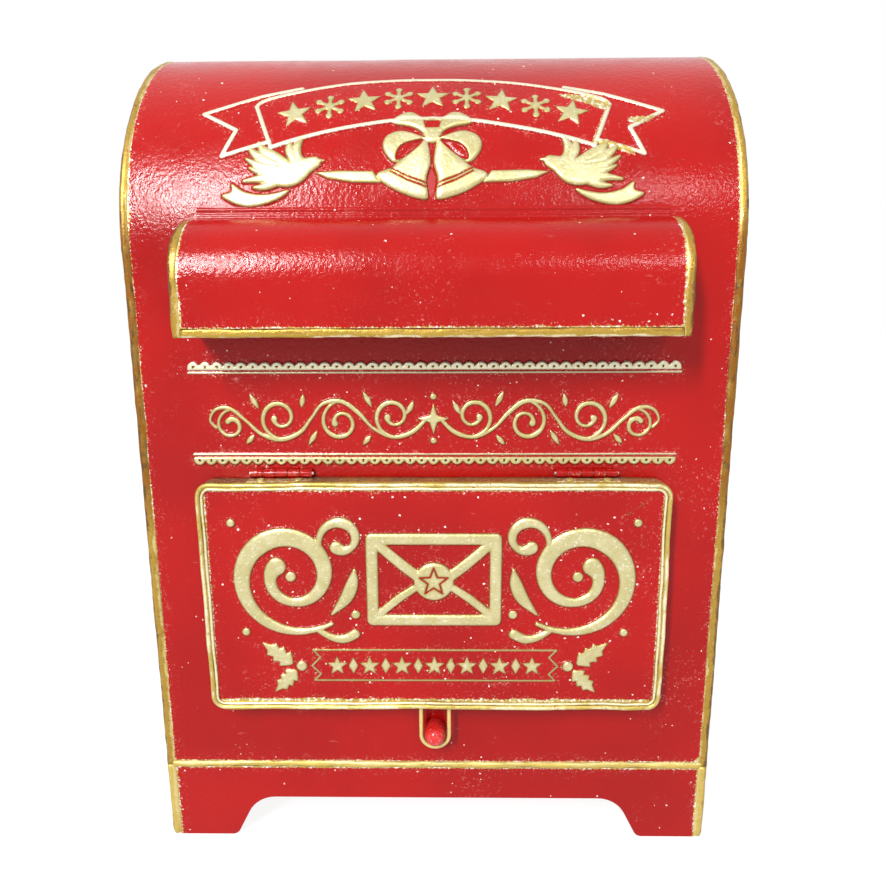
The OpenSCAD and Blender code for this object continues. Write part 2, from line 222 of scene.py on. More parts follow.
class Relief:
    """Heights and gold paint of an embossed sheet, over a grid of x across and s up the sheet."""

    def __init__(self, xs, ss):
        self.xs, self.ss = np.array(xs), np.array(ss)
        self.x, self.s = np.meshgrid(self.xs, self.ss)
        self.height = np.zeros(self.x.shape)
        self.paint = np.full(self.x.shape, 9.0)
        self.spill = np.full(self.x.shape, 9.0)
        self.tone = np.zeros(self.x.shape)

    def window(self, shape, margin=5.0):
        x0, x1, s0, s1 = shape.box
        cols = slice(*np.searchsorted(self.xs, (x0 - margin, x1 + margin)))
        rows = slice(*np.searchsorted(self.ss, (s0 - margin, s1 + margin)))
        return rows, cols

    def emboss(self, shape, height, slope, painted=True, spill=0.1, over=0.0):
        """Raises a shape by height, with a rounded edge slope wide, on top of over."""
        at = self.window(shape)
        d = shape.distance(self.x[at], self.s[at])
        t = np.clip((0.25 - d) / slope, 0, 1)
        rise = over * (t > 0) + BOLD * height * np.sqrt(np.clip(1 - (1 - t) ** 2, 0, 1))
        self.height[at] = np.maximum(self.height[at], rise)
        if painted:
            self.paint[at] = np.minimum(self.paint[at], d - spill)

    def cut(self, shape, depth, bare=True):
        """Presses a groove into what is raised, and leaves it unpainted."""
        at = self.window(shape)
        d = shape.distance(self.x[at], self.s[at])
        self.height[at] -= depth * np.clip(0.2 - d, 0, 0.6) / 0.6
        if bare:
            self.paint[at] = np.maximum(self.paint[at], -d)

    def emboss_both(self, shape, height, slope, **more):
        for side in both(shape):
            self.emboss(side, height, slope, **more)

    def cut_both(self, shape, depth, bare=True):
        for side in both(shape):
            self.cut(side, depth, bare)

    def brush_edge(self, distance, spill, seed):
        """Gold that runs over from a rolled edge. distance is the gap to that edge."""
        self.spill = np.minimum(self.spill, distance - overrun(spill, self.x, self.s, seed, broad=0.45))

    def paint_light_and_shade(self, shape, tone):
        """Paints a highlight onto gold, whitening it (up to 1), or paints shade, darkening it (down to -1).
        """
        at = self.window(shape)
        self.tone[at] = np.where(shape.distance(self.x[at], self.s[at]) < PAINT_RIM, tone, self.tone[at])

    def smear(self, shape, gap=0.0):
        """Ragged gold over a shape that isn't raised."""
        at = self.window(shape)
        self.spill[at] = np.minimum(self.spill[at], shape.distance(self.x[at], self.s[at]) + gap)

    def dent(self, depth, size, seed):
        """Slow unevenness of a thin sheet."""
        self.height += depth * wander(self.x, self.s, size, seed)


# ---------------------------------------------------------------- ornament: the motifs


def emboss_snowflake(r, x, s, arm=5.2):
    """Six bars from a middle, each with a ball at its end."""
    for k in range(6):
        a = math.pi * k / 3 + 0.52
        tip = (x + arm * math.cos(a), s + arm * math.sin(a))
        r.emboss(line([(x, s), tip], 0.8), 0.45, 0.8, over=0.3)
        r.emboss(ball(*tip, 1.35), 0.45, 0.8, over=0.3)
    r.emboss(ball(x, s, 2.0), 0.5, 0.9, over=0.3)


def emboss_banner(r):
    """A curved ribbon with swallow-tail ends, and stars and snowflakes along it."""
    top = smooth([(-72, 329), (-68.5, 333), (-54, 338.6), (-34, 344), (-14, 346.4), (0, 346.8)], step=1)
    bottom = smooth([(-64.5, 308.4), (-52, 312.8), (-35.6, 317.2), (-16, 321), (0, 322)], step=1)
    tail = [(-54.5, 340.6), (-70, 335.6), (-93, 325), (-79, 316.6), (-84, 304.6), (-75, 307.8), (-65.2, 311)]
    fold = [(-72, 329), (-68.4, 319), (-64.5, 308.4)]
    flip = (-1, 1)
    whole = Patch(np.vstack([top, top[::-1] * flip, bottom * flip, bottom[::-1]]), curved=False)
    r.emboss(whole, 0.35, 1.2, painted=False)
    r.emboss_both(Patch(tail + [fold[-1], fold[0]], curved=False), 0.2, 1.0, painted=False)
    for points, radius in ((top, 0.8), (bottom, 0.8), (tail, 0.8), (fold, 0.75)):
        for edge in both(line(points, radius)):
            r.emboss(edge, 0.5, 0.8, over=0.3)
            # Painted highlight: the banner's outlines are whitened.
            r.paint_light_and_shade(edge, 0.55)
    for i, x in enumerate(np.linspace(-56, 56, 9)):
        middle = 0.5 * (np.interp(-abs(x), *top.T) + np.interp(-abs(x), *bottom.T))
        if i % 2:
            emboss_snowflake(r, x, middle)
        else:
            r.emboss(star(x, middle, 7.4, turn=90 - x * 0.22), 0.55, 1.0, over=0.3)


def smear_banner(r):
    """Gold that ran past the lines of the banner, most of it at the right fold."""
    for points in ([(52.8, 336.4), (66, 334), (72.6, 328.6), (69.5, 326), (62, 330), (54, 333.6)],
                   [(80, 322.4), (89.6, 322.3), (84, 318.6), (79, 319.6)],
                   [(68.4, 310.6), (77, 307.8), (81, 303.8), (72.4, 307), (64.6, 309.6)]):
        r.smear(Patch(points), 0.25)
    for points, radius in (([(71, 328), (67.2, 319), (63.6, 309.6)], 0.5),
                           ([(56, 336.8), (69, 333.6)], 0.3),
                           ([(-30, 346), (30, 346)], 0.1),
                           ([(30, 318.4), (58, 310.8)], 0.1),
                           ([(-71, 331), (-84, 327)], 0.1)):
        r.smear(line(points, radius), 0.35)


def emboss_bird(r):
    """A dove on each side, wings up, facing the middle."""
    body = [(-46.8, 301.6, 2.6), (-50.5, 300, 3.6), (-56, 297, 5.2), (-62, 295.4, 3.4), (-68, 295, 1.8),
            (-74.6, 294, 0.7)]
    beak = [(-46.6, 302.2, 1.6), (-42.8, 302.4, 0.3)]
    low_tail = [(-60, 294.6, 2.2), (-66, 291.8, 1.6), (-70.5, 291.4, 0.6)]
    feathers = [
        [(-56, 298, 3.2), (-64, 302, 3.0), (-70, 305, 1.9), (-73.4, 308.4, 0.7)],
        [(-57, 299, 3.2), (-63.5, 304, 2.8), (-67.6, 307.4, 1.8), (-69.4, 310.4, 0.7)],
        [(-58, 298, 3.0), (-65, 299.6, 2.4), (-70, 301, 1.6), (-74, 303.4, 0.6)],
        [(-57, 297, 3.0), (-64, 297.6, 2.2), (-69.6, 298.2, 1.2), (-72.6, 299.6, 0.5)],
        [(-52, 299, 3.4), (-54.4, 304, 2.8), (-54, 308.6, 1.8), (-52, 312.8, 0.7)],
        [(-51, 300, 3.0), (-56, 305.4, 2.2), (-57, 308.4, 1.5), (-56.6, 311.2, 0.6)],
    ]
    r.emboss_both(Stroke(beak, curved=False), 1.0, 1.9)
    for points in [body, low_tail] + feathers:
        r.emboss_both(Stroke(points), 1.0, 1.9)
    grooves = ([(-61, 301.6), (-66.6, 304.6)], [(-60.4, 300.2), (-67.6, 301.4)], [(-53.8, 303), (-55.2, 308)])
    for groove in grooves:
        r.cut_both(line(groove, 0.22), 0.35, bare=False)


def emboss_streamers(r):
    """The bands that the birds carry, on both sides."""
    tail = [(-56.6, 290.4), (-62, 289.2), (-68, 288.6), (-74.4, 289.9), (-79.4, 293), (-79.6, 289.9),
            (-83.4, 288.2), (-78.4, 285), (-71.9, 283.7), (-64, 285.3), (-58.6, 288)]
    band = [(-46.4, 297.4), (-38, 298.1), (-23.4, 297.9), (-22, 295.6), (-20.2, 293), (-31.5, 293.3),
            (-41.3, 294.9)]
    r.emboss_both(Patch(tail), 0.8, 1.4)
    r.emboss_both(Patch(band, curved=False), 0.8, 1.4)


def emboss_bells(r):
    """Two bells under a bow."""
    bell = [(-2.4, 311.6), (-6.4, 309.4), (-10, 305), (-15.6, 299.7), (-21.6, 297), (-20.2, 293.6),
            (-12, 288.8), (-3, 286.2), (-1.5, 288.6), (-2.2, 294.6), (-0.6, 302)]
    loop = [(-2.6, 312.4), (-7.6, 315.4), (-13, 315.8), (-18, 313.6), (-19.8, 309.4), (-18.4, 304.8),
            (-14.6, 301.4), (-10, 305), (-5.6, 309.6)]
    hole = [(-13.9, 302.4), (-13.9, 306.2), (-11.6, 309.3), (-7.2, 310.8), (-3.4, 311.2), (-7.6, 306.4)]
    slot = [(-15, 318.4), (-10.2, 317.9), (-6.4, 315.2), (-3, 312.4), (-8.6, 314.6), (-13.6, 316.2)]
    strap = [(-16, 319.7), (-13.4, 323.8), (-8.6, 325.4), (-4, 322.6), (0, 321.9), (4, 322.6), (8.6, 325.4),
             (13.4, 323.8), (16, 319.7), (8, 317.4), (4, 314.6), (3.4, 311.4), (0, 309.8), (-3.4, 311.4),
             (-4, 314.6), (-8, 317.4)]
    r.emboss_both(Patch(bell), 1.1, 3.2)
    r.emboss_both(Patch(loop), 1.0, 2.2)
    r.emboss(Patch(strap), 1.1, 2.2)
    r.cut_both(Patch(hole), 0.9)
    r.cut_both(Patch(slot), 0.6)
    r.cut(Patch([(-3.4, 320.2), (3.4, 320.2), (2.6, 316.8), (-2.6, 316.8)], curved=False), 0.7)
    for drop in (0.0, 1.5):
        r.cut_both(line([(-16.2, 299 - drop), (-9.6, 295.4 - drop), (-2.6, 292.8 - drop)], 0.27), 0.5)
    r.cut(Patch([(-0.4, 299.4), (1.3, 293.8), (-0.4, 287.2), (-2.0, 293.2)]), 0.8)


SCALLOP = ((-0.96, 0.1), (-0.8, 0.95), (-0.45, 1.7), (0, 1.95), (0.45, 1.7), (0.8, 0.95), (0.96, 0.1))


def emboss_lace(r, base, up, half=101.4, count=41):
    """A strip of lace: a fine line, then a band with eyelets and a scalloped edge."""
    pitch = half * 2 / count
    middles = [-half + pitch * (i + 0.5) for i in range(count)]
    rule = [(-half, base), (half, base)]
    r.emboss(line(rule, 0.32), 0.4, 0.5, spill=0.1)
    edge = [(-half, base + up * 1.2)]
    for x in middles:
        edge += [(x + pitch / 2 * a, base + up * (2.5 + b)) for a, b in SCALLOP]
    edge += [(half, base + up * 1.2)]
    band = Patch(edge, curved=False)
    r.emboss(band, 0.65, 0.9, spill=0.12)
    # Painted highlight: the band is whitened, the upper strip most because it lies in the hood's shadow, and
    # the fine line a little.
    r.paint_light_and_shade(band, 0.5 if up > 0 else 0.12)
    r.paint_light_and_shade(line(rule, 0.4), 0.3)
    for x in middles:
        eyelet = ball(x, base + up * 2.5, 0.3)
        r.cut(eyelet, 0.6, bare=False)
        # Painted shade: each eyelet is darkened to dark brown.
        r.paint_light_and_shade(eyelet, -1)


def emboss_lace_strips(r):
    emboss_lace(r, 218.4, 1)
    emboss_lace(r, 184.0, -1)


def flourish_strokes():
    """A running scroll of looped brush lines with leaves, for the right half."""
    wave = [(3, 199, 0.9), (9, 193.4, 1.2), (17, 191.4, 1.0), (25, 195, 0.8), (31, 201.4, 1.1),
            (38, 206.4, 1.2), (46, 205.4, 0.9), (51, 199.4, 0.8), (56, 193.4, 1.1), (64, 190.4, 1.2),
            (72, 192.6, 1.0), (78, 198, 0.8), (85, 203.6, 1.0), (91, 203, 0.8), (93.4, 198.6, 0.6),
            (91, 195.4, 0.7)]
    width = [(0, 0.7), (0.3, 1.2), (0.8, 0.8), (0.92, 1.0), (1, 1.7)]
    end_width = [(0, 0.7), (0.5, 0.9), (1, 1.4)]
    strokes = [
        Stroke(wave),
        volute(16.6, 200.2, 8.9, 2.6, -100, 1.25, width),
        volute(38.6, 197.6, 8.9, 2.6, 80, 1.25, width, clockwise=True),
        volute(64, 199.6, 9.2, 2.6, -100, 1.25, width),
        volute(84.6, 196.4, 6.6, 2.2, 85, 1.1, end_width, clockwise=True),
    ]
    for x, s, angle, size in ((27.4, 207.4, 62, 6.4), (50.6, 191, -58, 6.4), (74.6, 206.6, 60, 6.4),
                              (9.6, 203.8, 118, 5.6), (28, 190, -50, 4.6), (54.4, 206.8, 100, 5),
                              (77, 190.4, -48, 4.6)):
        dx, ds = math.cos(math.radians(angle)) * size / 2, math.sin(math.radians(angle)) * size / 2
        strokes.append(Stroke([(x + dx * u, s + ds * u, radius)
                               for u, radius in ((-1, 0.4), (-0.2, 1.35), (0.4, 1.1), (1, 0.25))]))
    return strokes


def emboss_flourish(r):
    for stroke in flourish_strokes():
        stroke.p[:, 2] *= 0.8
        r.emboss_both(stroke, 0.65, 1.0)
    for shape in (star(0, 199, 6.4, points=4, inner=0.34), ball(0, 208.4, 1.3), ball(0, 189.8, 1.3)):
        r.emboss(shape, 0.6, 1.1)


def emboss_letter_emblem(r):
    """An envelope with a seal, between two pairs of scrolls."""
    r.emboss(line([(-26, 150), (26, 150), (26, 114), (-26, 114), (-26, 150)], 2.5), 1.15, 2.0)
    flap = [(-25, 149, 2.1), (-13, 138.4, 2.3), (-4, 131.6, 2.3), (0, 129.8, 2.4), (4, 131.6, 2.3),
            (13, 138.4, 2.3), (25, 149, 2.1)]
    r.emboss(Stroke(flap), 1.05, 2.0)
    r.emboss_both(Stroke([(-24, 116, 1.7), (-15, 123.6, 1.8), (-8, 128.4, 1.6)]), 0.95, 1.6)
    r.emboss(ball(0, 131.4, 8.4), 1.35, 2.4)
    seal = star(0, 131.4, 6.2).p
    r.cut(line(np.vstack([seal, seal[:1]]), 0.28), 0.5)
    big_width = [(0, 0.9), (0.12, 2.4), (0.34, 4.3), (0.55, 3.4), (0.75, 2.0), (0.92, 2.6), (1, 4.0)]
    small_width = [(0, 0.8), (0.4, 2.4), (0.75, 1.5), (1, 2.8)]
    scrolls = (
        volute(60.4, 133.4, 27, 7.4, -128, 1.46, big_width),
        volute(38.6, 149.6, 10.4, 4.0, -40, 0.95, small_width),
        Stroke([(34, 107.4, 2.2), (38.6, 105.2, 2.0), (44, 106, 1.6), (50, 109.6, 1.2)]),
        Stroke([(33.4, 136.4, 0.6), (34.6, 130, 2.6), (37.4, 123.6, 2.6), (43.4, 116.6, 0.6)]),
    )
    for shape in scrolls:
        r.emboss_both(shape, 1.25, 2.6)
    for x, s, size in ((33.4, 116.4, 1.9), (60.4, 133.4, 2.2), (84.4, 157, 1.7), (80.6, 108.4, 1.7)):
        r.emboss_both(ball(x, s, size), 0.9, 1.2)


def emboss_ticket(r):
    """A narrow ribbon outlined in thin lines, with a row of stars and diamonds."""
    end = [(52.4, 100), (49.2, 96.6), (53, 92.6), (49.2, 88.8), (52, 85.8)]
    outline = [(-x, s) for x, s in end[::-1]] + end
    r.emboss(Patch(outline, curved=False), 0.25, 0.8, painted=False)
    r.emboss(line(outline + [outline[0]], 0.2), 0.3, 0.5, over=0.2, spill=0.26)
    for i, x in enumerate(np.linspace(-42, 42, 13)):
        if i % 2:
            diamond = Patch([(x - 2, 92.8), (x, 96.6), (x + 2, 92.8), (x, 89)], curved=False)
            r.emboss(diamond, 0.4, 0.7, over=0.2)
        else:
            r.emboss(star(x, 92.6, 4.6), 0.45, 0.8, over=0.2)


HOLLY_EDGE = ((0, 0.12), (0.12, 0.62), (0.24, 1.0), (0.3, 0.6), (0.46, 0.98), (0.52, 0.58), (0.68, 0.82),
              (0.74, 0.4), (1, 0.0))


def holly_leaf(stalk, tip, width):
    """A leaf from its stalk to its tip, with three points a side."""
    stalk = np.array(stalk)
    along = np.array(tip) - stalk
    across = np.array([-along[1], along[0]]) / np.hypot(*along) * width / 2
    side = [stalk + along * u + across * w for u, w in HOLLY_EDGE]
    other = [stalk + along * u - across * w for u, w in HOLLY_EDGE[-2::-1]]
    return Patch(side + other, curved=False)


def emboss_holly(r):
    """Two leaves and a berry at each end of the ticket."""
    for stalk, tip, width, vein_tip in (((61.4, 93.4), (74.2, 103.6), 8.4, (72, 102)),
                                        ((59.8, 90.4), (69.6, 80.2), 7.6, (68, 82))):
        r.emboss_both(holly_leaf(stalk, tip, width), 0.8, 1.6)
        r.cut_both(line([stalk, vein_tip], 0.16), 0.3, bare=False)
    r.emboss_both(ball(57.4, 92.6, 2.3), 1.0, 1.6)


# ---------------------------------------------------------------- meshes


def put(name, data):
    """A new object in the scene."""
    thing = bpy.data.objects.new(name, data)
    bpy.context.scene.collection.objects.link(thing)
    return thing


def add_piece(name, points, faces, body, material, layers=None, replaced=()):
    """A mesh piece from points in millimetres, which rides on a body."""
    mesh = bpy.data.meshes.new(name)
    verts = np.asarray(points, float).reshape(-1, 3) * MM
    mesh.from_pydata(verts.tolist(), [], [tuple(f) for f in faces])
    mesh.polygons.foreach_set("use_smooth", np.ones(len(mesh.polygons), bool))
    for key, values in (layers or {}).items():
        layer = mesh.attributes.new(key, "FLOAT", "POINT")
        layer.data.foreach_set("value", np.asarray(values, np.float32).ravel())
    mesh.materials.append(material)
    piece = put(name, mesh)
    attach(piece, body)
    if replaced:
        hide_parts(*replaced)


def ruler(*stops):
    """Grid lines: (start, step) pairs, then the end."""
    lines = []
    for (start, step), following in zip(stops[:-1], stops[1:]):
        end = following[0] if isinstance(following, tuple) else following
        count = max(1, round((end - start) / step))
        lines += [start + (end - start) * i / count for i in range(count)]
    return np.array(lines + [stops[-1]])


def grid_faces(rows, cols, keep=None, around=False, ends_meet=False):
    """Quads of a grid of points.

    around joins the last column to the first, and ends_meet joins the last row to the first.
    """
    i = np.arange(rows if ends_meet else rows - 1)
    j = np.arange(cols if around else cols - 1)
    i, j = np.meshgrid(i, j, indexing="ij")
    if keep is not None:
        i, j = i[keep], j[keep]
    i, j = i.ravel(), j.ravel()
    i2, j2 = (i + 1) % rows, (j + 1) % cols
    return np.stack([i * cols + j, i * cols + j2, i2 * cols + j2, i2 * cols + j], axis=1).tolist()


def tube_faces(rows, cols, closed=False, inward=False):
    """Faces of a grid that closes on itself, with its open ends filled. inward turns them over."""
    faces = grid_faces(rows, cols, around=True, ends_meet=closed)
    if not closed:
        faces.append(list(range(cols))[::-1])
        faces.append([(rows - 1) * cols + j for j in range(cols)])
    return [f[::-1] for f in faces] if inward else faces


def places(x, y, z):
    """Points from their coordinates, any of which may be a single number."""
    return np.stack(np.broadcast_arrays(x, y, z), axis=-1).astype(float)


def each_row(values, points):
    """A layer with one value for each row of a grid of points."""
    return np.broadcast_to(np.asarray(values, float)[:, None], points.shape[:2])


def each_col(values, points):
    """A layer with one value for each column of a grid of points."""
    return np.broadcast_to(np.asarray(values, float)[None], points.shape[:2])


def on_case(x, s, h):
    """A place on the front sheet, the roof and the top of the back, h outside the tin."""
    h = h + SKIN
    turn = np.clip((s - ARCH_Z) / ROOF_R, 0, math.pi)
    roof = ARCH_Z + (ROOF_R + h) * np.sin(turn)
    up = np.where(s < ARCH_Z, s, np.where(s > ROOF_END, ARCH_Z - (s - ROOF_END), roof))
    return places(x, MID_Y - (ROOF_R + h) * np.cos(turn), up)


def on_door(x, s, h):
    """A place on the door's panel."""
    return places(x, plate_low[1] - SKIN - h, s)


def sweep(path, out, side, section, scale=1.0, wobble=0.0, bend=0.0, seed=1, closed=False):
    """Points of a section carried along a path, and their layers. section holds (out, side) pairs."""
    path, section = np.asarray(path, float), np.asarray(section, float)
    out, side = (np.broadcast_to(np.asarray(v, float), path.shape) for v in (out, side))
    step = np.linalg.norm(np.diff(path, axis=0, append=path[:1]), axis=1)
    along = np.concatenate([[0], np.cumsum(step[:-1])])
    a, around = np.meshgrid(along, np.arange(len(section)) * 1.3, indexing="ij")
    swell = wobble * wander(a, around, 7, seed) + wobble * 0.7 * wander(a, around, 2.4, seed + 5)
    drift = bend * wander(along, 0 * along, 26, seed + 9)
    if closed:
        to_join = np.minimum(along, along[-1] - along)
        swell = swell * np.clip(to_join / 8, 0, 1)[:, None]
        drift = drift * np.clip(to_join / 12, 0, 1)
    swell = (1 + swell) * np.broadcast_to(scale, along.shape)[:, None]
    points = path[:, None] + (out * drift[:, None])[:, None]
    points = points + out[:, None] * (section[:, 0] * swell)[..., None]
    points = points + side[:, None] * (section[:, 1] * swell)[..., None]
    low, high = section[:, 1].min(), section[:, 1].max()
    return points, {"along": a, "across": each_col((section[:, 1] - low) / (high - low), points)}


def unseen_side(section, points):
    """A layer for the part of a rolled edge inside the case, which the gold brush doesn't reach."""
    return each_col(np.asarray(section)[:, 0] < -0.2, points)


def sweep_piece(name, points, layers, body, material, replaced, closed=False, inward=False):
    faces = tube_faces(*points.shape[:2], closed, inward)
    add_piece(name, points, faces, body, material, layers, [replaced])


def lozenge(half_out, half_side, n, square):
    """A rounded section, from round (1) to nearly square (0)."""
    a = np.linspace(0, 2 * math.pi, n, endpoint=False)
    c, s = np.cos(a), np.sin(a)
    return np.stack([half_out * np.sign(c) * np.abs(c) ** square,
                     half_side * np.sign(s) * np.abs(s) ** square], axis=1)


# ---------------------------------------------------------------- materials


class Nodes:
    """Short names for building one material. Sizes and depths are in millimetres."""

    def __init__(self, name):
        self.material = bpy.data.materials.new(name)
        self.material.use_nodes = True
        self.tree = self.material.node_tree
        self.shader = self.tree.nodes["Principled BSDF"]
        self.place = self.add("ShaderNodeTexCoord").outputs["Object"]

    def add(self, kind, **settings):
        node = self.tree.nodes.new(kind)
        for key, value in settings.items():
            setattr(node, key, value)
        return node

    def feed(self, socket, value):
        if isinstance(value, bpy.types.NodeSocket):
            self.tree.links.new(value, socket)
        else:
            socket.default_value = value

    def math(self, operation, a, b=0.0, clamp=False):
        node = self.add("ShaderNodeMath", operation=operation, use_clamp=clamp)
        self.feed(node.inputs[0], a)
        self.feed(node.inputs[1], b)
        return node.outputs[0]

    def plus(self, a, b, clamp=False):
        return self.math("ADD", a, b, clamp)

    def minus(self, a, b):
        return self.math("SUBTRACT", a, b)

    def times(self, a, b):
        return self.math("MULTIPLY", a, b)

    def least(self, a, b):
        return self.math("MINIMUM", a, b)

    def most(self, a, b):
        return self.math("MAXIMUM", a, b)

    def place_in_mm(self):
        """The three coordinates of the place."""
        split = self.add("ShaderNodeSeparateXYZ")
        self.feed(split.inputs[0], self.place)
        return [self.math("DIVIDE", coordinate, MM) for coordinate in split.outputs]

    def stretched(self, x, y, z):
        node = self.add("ShaderNodeMapping")
        node.inputs["Scale"].default_value = (x, y, z)
        self.feed(node.inputs["Vector"], self.place)
        return node.outputs[0]

    def noise_node(self, size, place=None):
        node = self.add("ShaderNodeTexNoise")
        self.feed(node.inputs["Vector"], place or self.place)
        node.inputs["Scale"].default_value = 1 / (size * MM)
        return node

    def noise(self, size, detail=2.0, rough=0.5, place=None):
        """Noise whose features are about size across."""
        node = self.noise_node(size, place)
        node.inputs["Detail"].default_value = detail
        node.inputs["Roughness"].default_value = rough
        return node.outputs["Fac"]

    def marks(self, size, detail, start, end, rough=0.5, place=None, low=0.0, high=1.0):
        """Noise turned into marks: low where it is under start, high where it is over end."""
        return self.step(self.noise(size, detail, rough, place), start, end, low, high)

    def swing(self, value, reach):
        """Noise moved to lie on both sides of nought."""
        return self.times(self.minus(value, 0.5), reach)

    def frayed(self, size, amount):
        """The place, pushed about by noise."""
        push = self.add("ShaderNodeVectorMath", operation="MULTIPLY_ADD")
        self.feed(push.inputs[0], self.noise_node(size).outputs["Color"])
        push.inputs[1].default_value = (amount * MM,) * 3
        self.feed(push.inputs[2], self.place)
        return push.outputs[0]

    def spots(self, size, place=None):
        """Distance to scattered points about size apart, and two random values for each."""
        node = self.add("ShaderNodeTexVoronoi")
        self.feed(node.inputs["Vector"], place or self.place)
        node.inputs["Scale"].default_value = 1 / (size * MM)
        split = self.add("ShaderNodeSeparateColor")
        self.feed(split.inputs[0], node.outputs["Color"])
        return node.outputs["Distance"], split.outputs[0], split.outputs[1]

    def step(self, value, start, end, low=0.0, high=1.0):
        node = self.add("ShaderNodeMapRange", interpolation_type="SMOOTHSTEP")
        for i, v in enumerate((value, start, end, low, high)):
            self.feed(node.inputs[i], v)
        return node.outputs[0]

    def mix(self, amount, a, b):
        node = self.add("ShaderNodeMix", data_type="RGBA")
        self.feed(node.inputs["Factor"], amount)
        self.feed(node.inputs["A"], a if isinstance(a, bpy.types.NodeSocket) else (*a, 1))
        self.feed(node.inputs["B"], b if isinstance(b, bpy.types.NodeSocket) else (*b, 1))
        return node.outputs["Result"]

    def cover(self, under, over, mask, strength):
        """Lays one colour over another where mask is 1."""
        return self.mix(self.times(mask, strength), under, over)

    def layer(self, name):
        return self.add("ShaderNodeAttribute", attribute_name=name).outputs["Fac"]

    def bump(self, height, depth, under=None):
        """Relief of the given depth."""
        node = self.add("ShaderNodeBump")
        node.inputs["Distance"].default_value = depth * MM
        self.feed(node.inputs["Height"], height)
        if under is not None:
            self.feed(node.inputs["Normal"], under)
        return node.outputs[0]

    def finish(self, colour, roughness, metallic=0.0, normal=None, specular=0.5):
        self.feed(self.shader.inputs["Base Color"], colour)
        self.feed(self.shader.inputs["Roughness"], roughness)
        self.feed(self.shader.inputs["Metallic"], metallic)
        self.shader.inputs["Specular IOR Level"].default_value = specular
        if normal is not None:
            self.feed(self.shader.inputs["Normal"], normal)
        return self.material


RED = (0.30, 0.0030, 0.0020)
DEEP_RED = (0.245, 0.0020, 0.0015)
THIN_RED = (0.24, 0.006, 0.006)
SCUFF = (0.50, 0.16, 0.14)
FLECK = (0.75, 0.62, 0.56)
CHAMPAGNE = (0.47, 0.42, 0.20)
IVORY = (0.68, 0.63, 0.42)
# Near-white: chalky paint in the gold spills, and painted highlight on the raised gold.
CHALK_AND_HIGHLIGHT = (0.84, 0.82, 0.70)
BUTTER = (0.56, 0.45, 0.17)
STRAW = (0.45, 0.33, 0.075)
HONEY = (0.35, 0.21, 0.032)
BRASS = (0.37, 0.235, 0.035)
OCHRE = (0.25, 0.14, 0.02)
BRONZE = (0.225, 0.085, 0.008)
RUST = (0.18, 0.085, 0.018)
UMBER = (0.085, 0.035, 0.01)


def red_coat(n, distance=None):
    """Colour, roughness and orange peel of the red enamel. distance is how far the nearest gold is."""
    colour = n.mix(n.marks(70, 3, 0.35, 0.7), RED, DEEP_RED)
    patches = n.marks(30, 3, 0.54, 0.70, rough=0.6)
    if distance is not None:
        patches = n.plus(patches, n.step(distance, 6, 0.5, 0, 0.7), clamp=True)
    grit = n.times(patches, n.marks(1.3, 4, 0.58, 0.68, rough=0.75))
    colour = n.cover(colour, SCUFF, grit, 0.6)
    blotch = n.times(n.marks(4.5, 5, 0.63, 0.67, rough=0.75), patches)
    colour = n.cover(colour, SCUFF, blotch, 0.45)
    spot, chance, size = n.spots(2.7, n.frayed(0.7, 0.9))
    ragged = n.plus(spot, n.times(n.noise(0.4, 2), 0.24))
    ragged = n.plus(ragged, n.times(size, -0.12))
    some = n.step(n.plus(chance, n.times(patches, 0.30)), 0.955, 0.965)
    colour = n.mix(n.times(n.step(ragged, 0.19, 0.13), some), colour, FLECK)
    rub = n.marks(5, 4, 0.64, 0.74, rough=0.7, place=n.stretched(0.35, 1, 1))
    colour = n.cover(colour, SCUFF, n.times(rub, n.marks(40, 2, 0.5, 0.65)), 0.35)
    return colour, n.marks(9, 3, 0.3, 0.75, low=0.13, high=0.24), n.noise(1.7, 2.5, 0.55)


def gold_coat(n, distance):
    """Colour of brushed gold on a raised shape, darkened towards its edge with painted shade."""
    gold = n.cover(CHAMPAGNE, IVORY, n.marks(9, 4, 0.35, 0.72, rough=0.6), 0.45)
    gold = n.cover(gold, STRAW, n.marks(0.7, 4, 0.52, 0.68, rough=0.75), 0.55)
    # Painted glints: chalk-white flecks that stand in for highlights on the raised gold.
    painted_glint = n.marks(0.9, 3, 0.58, 0.67, rough=0.7, place=n.stretched(0.7, 1, 1))
    gold = n.cover(gold, CHALK_AND_HIGHLIGHT, painted_glint, 0.6)
    # Painted shade: brass, then dark brown, darkens the gold towards its edge all round the shape.
    gold = n.cover(gold, BRASS, n.step(distance, -1.1, -0.2), 0.5)
    return n.cover(gold, UMBER, n.step(distance, -0.38, 0.02), 0.85)


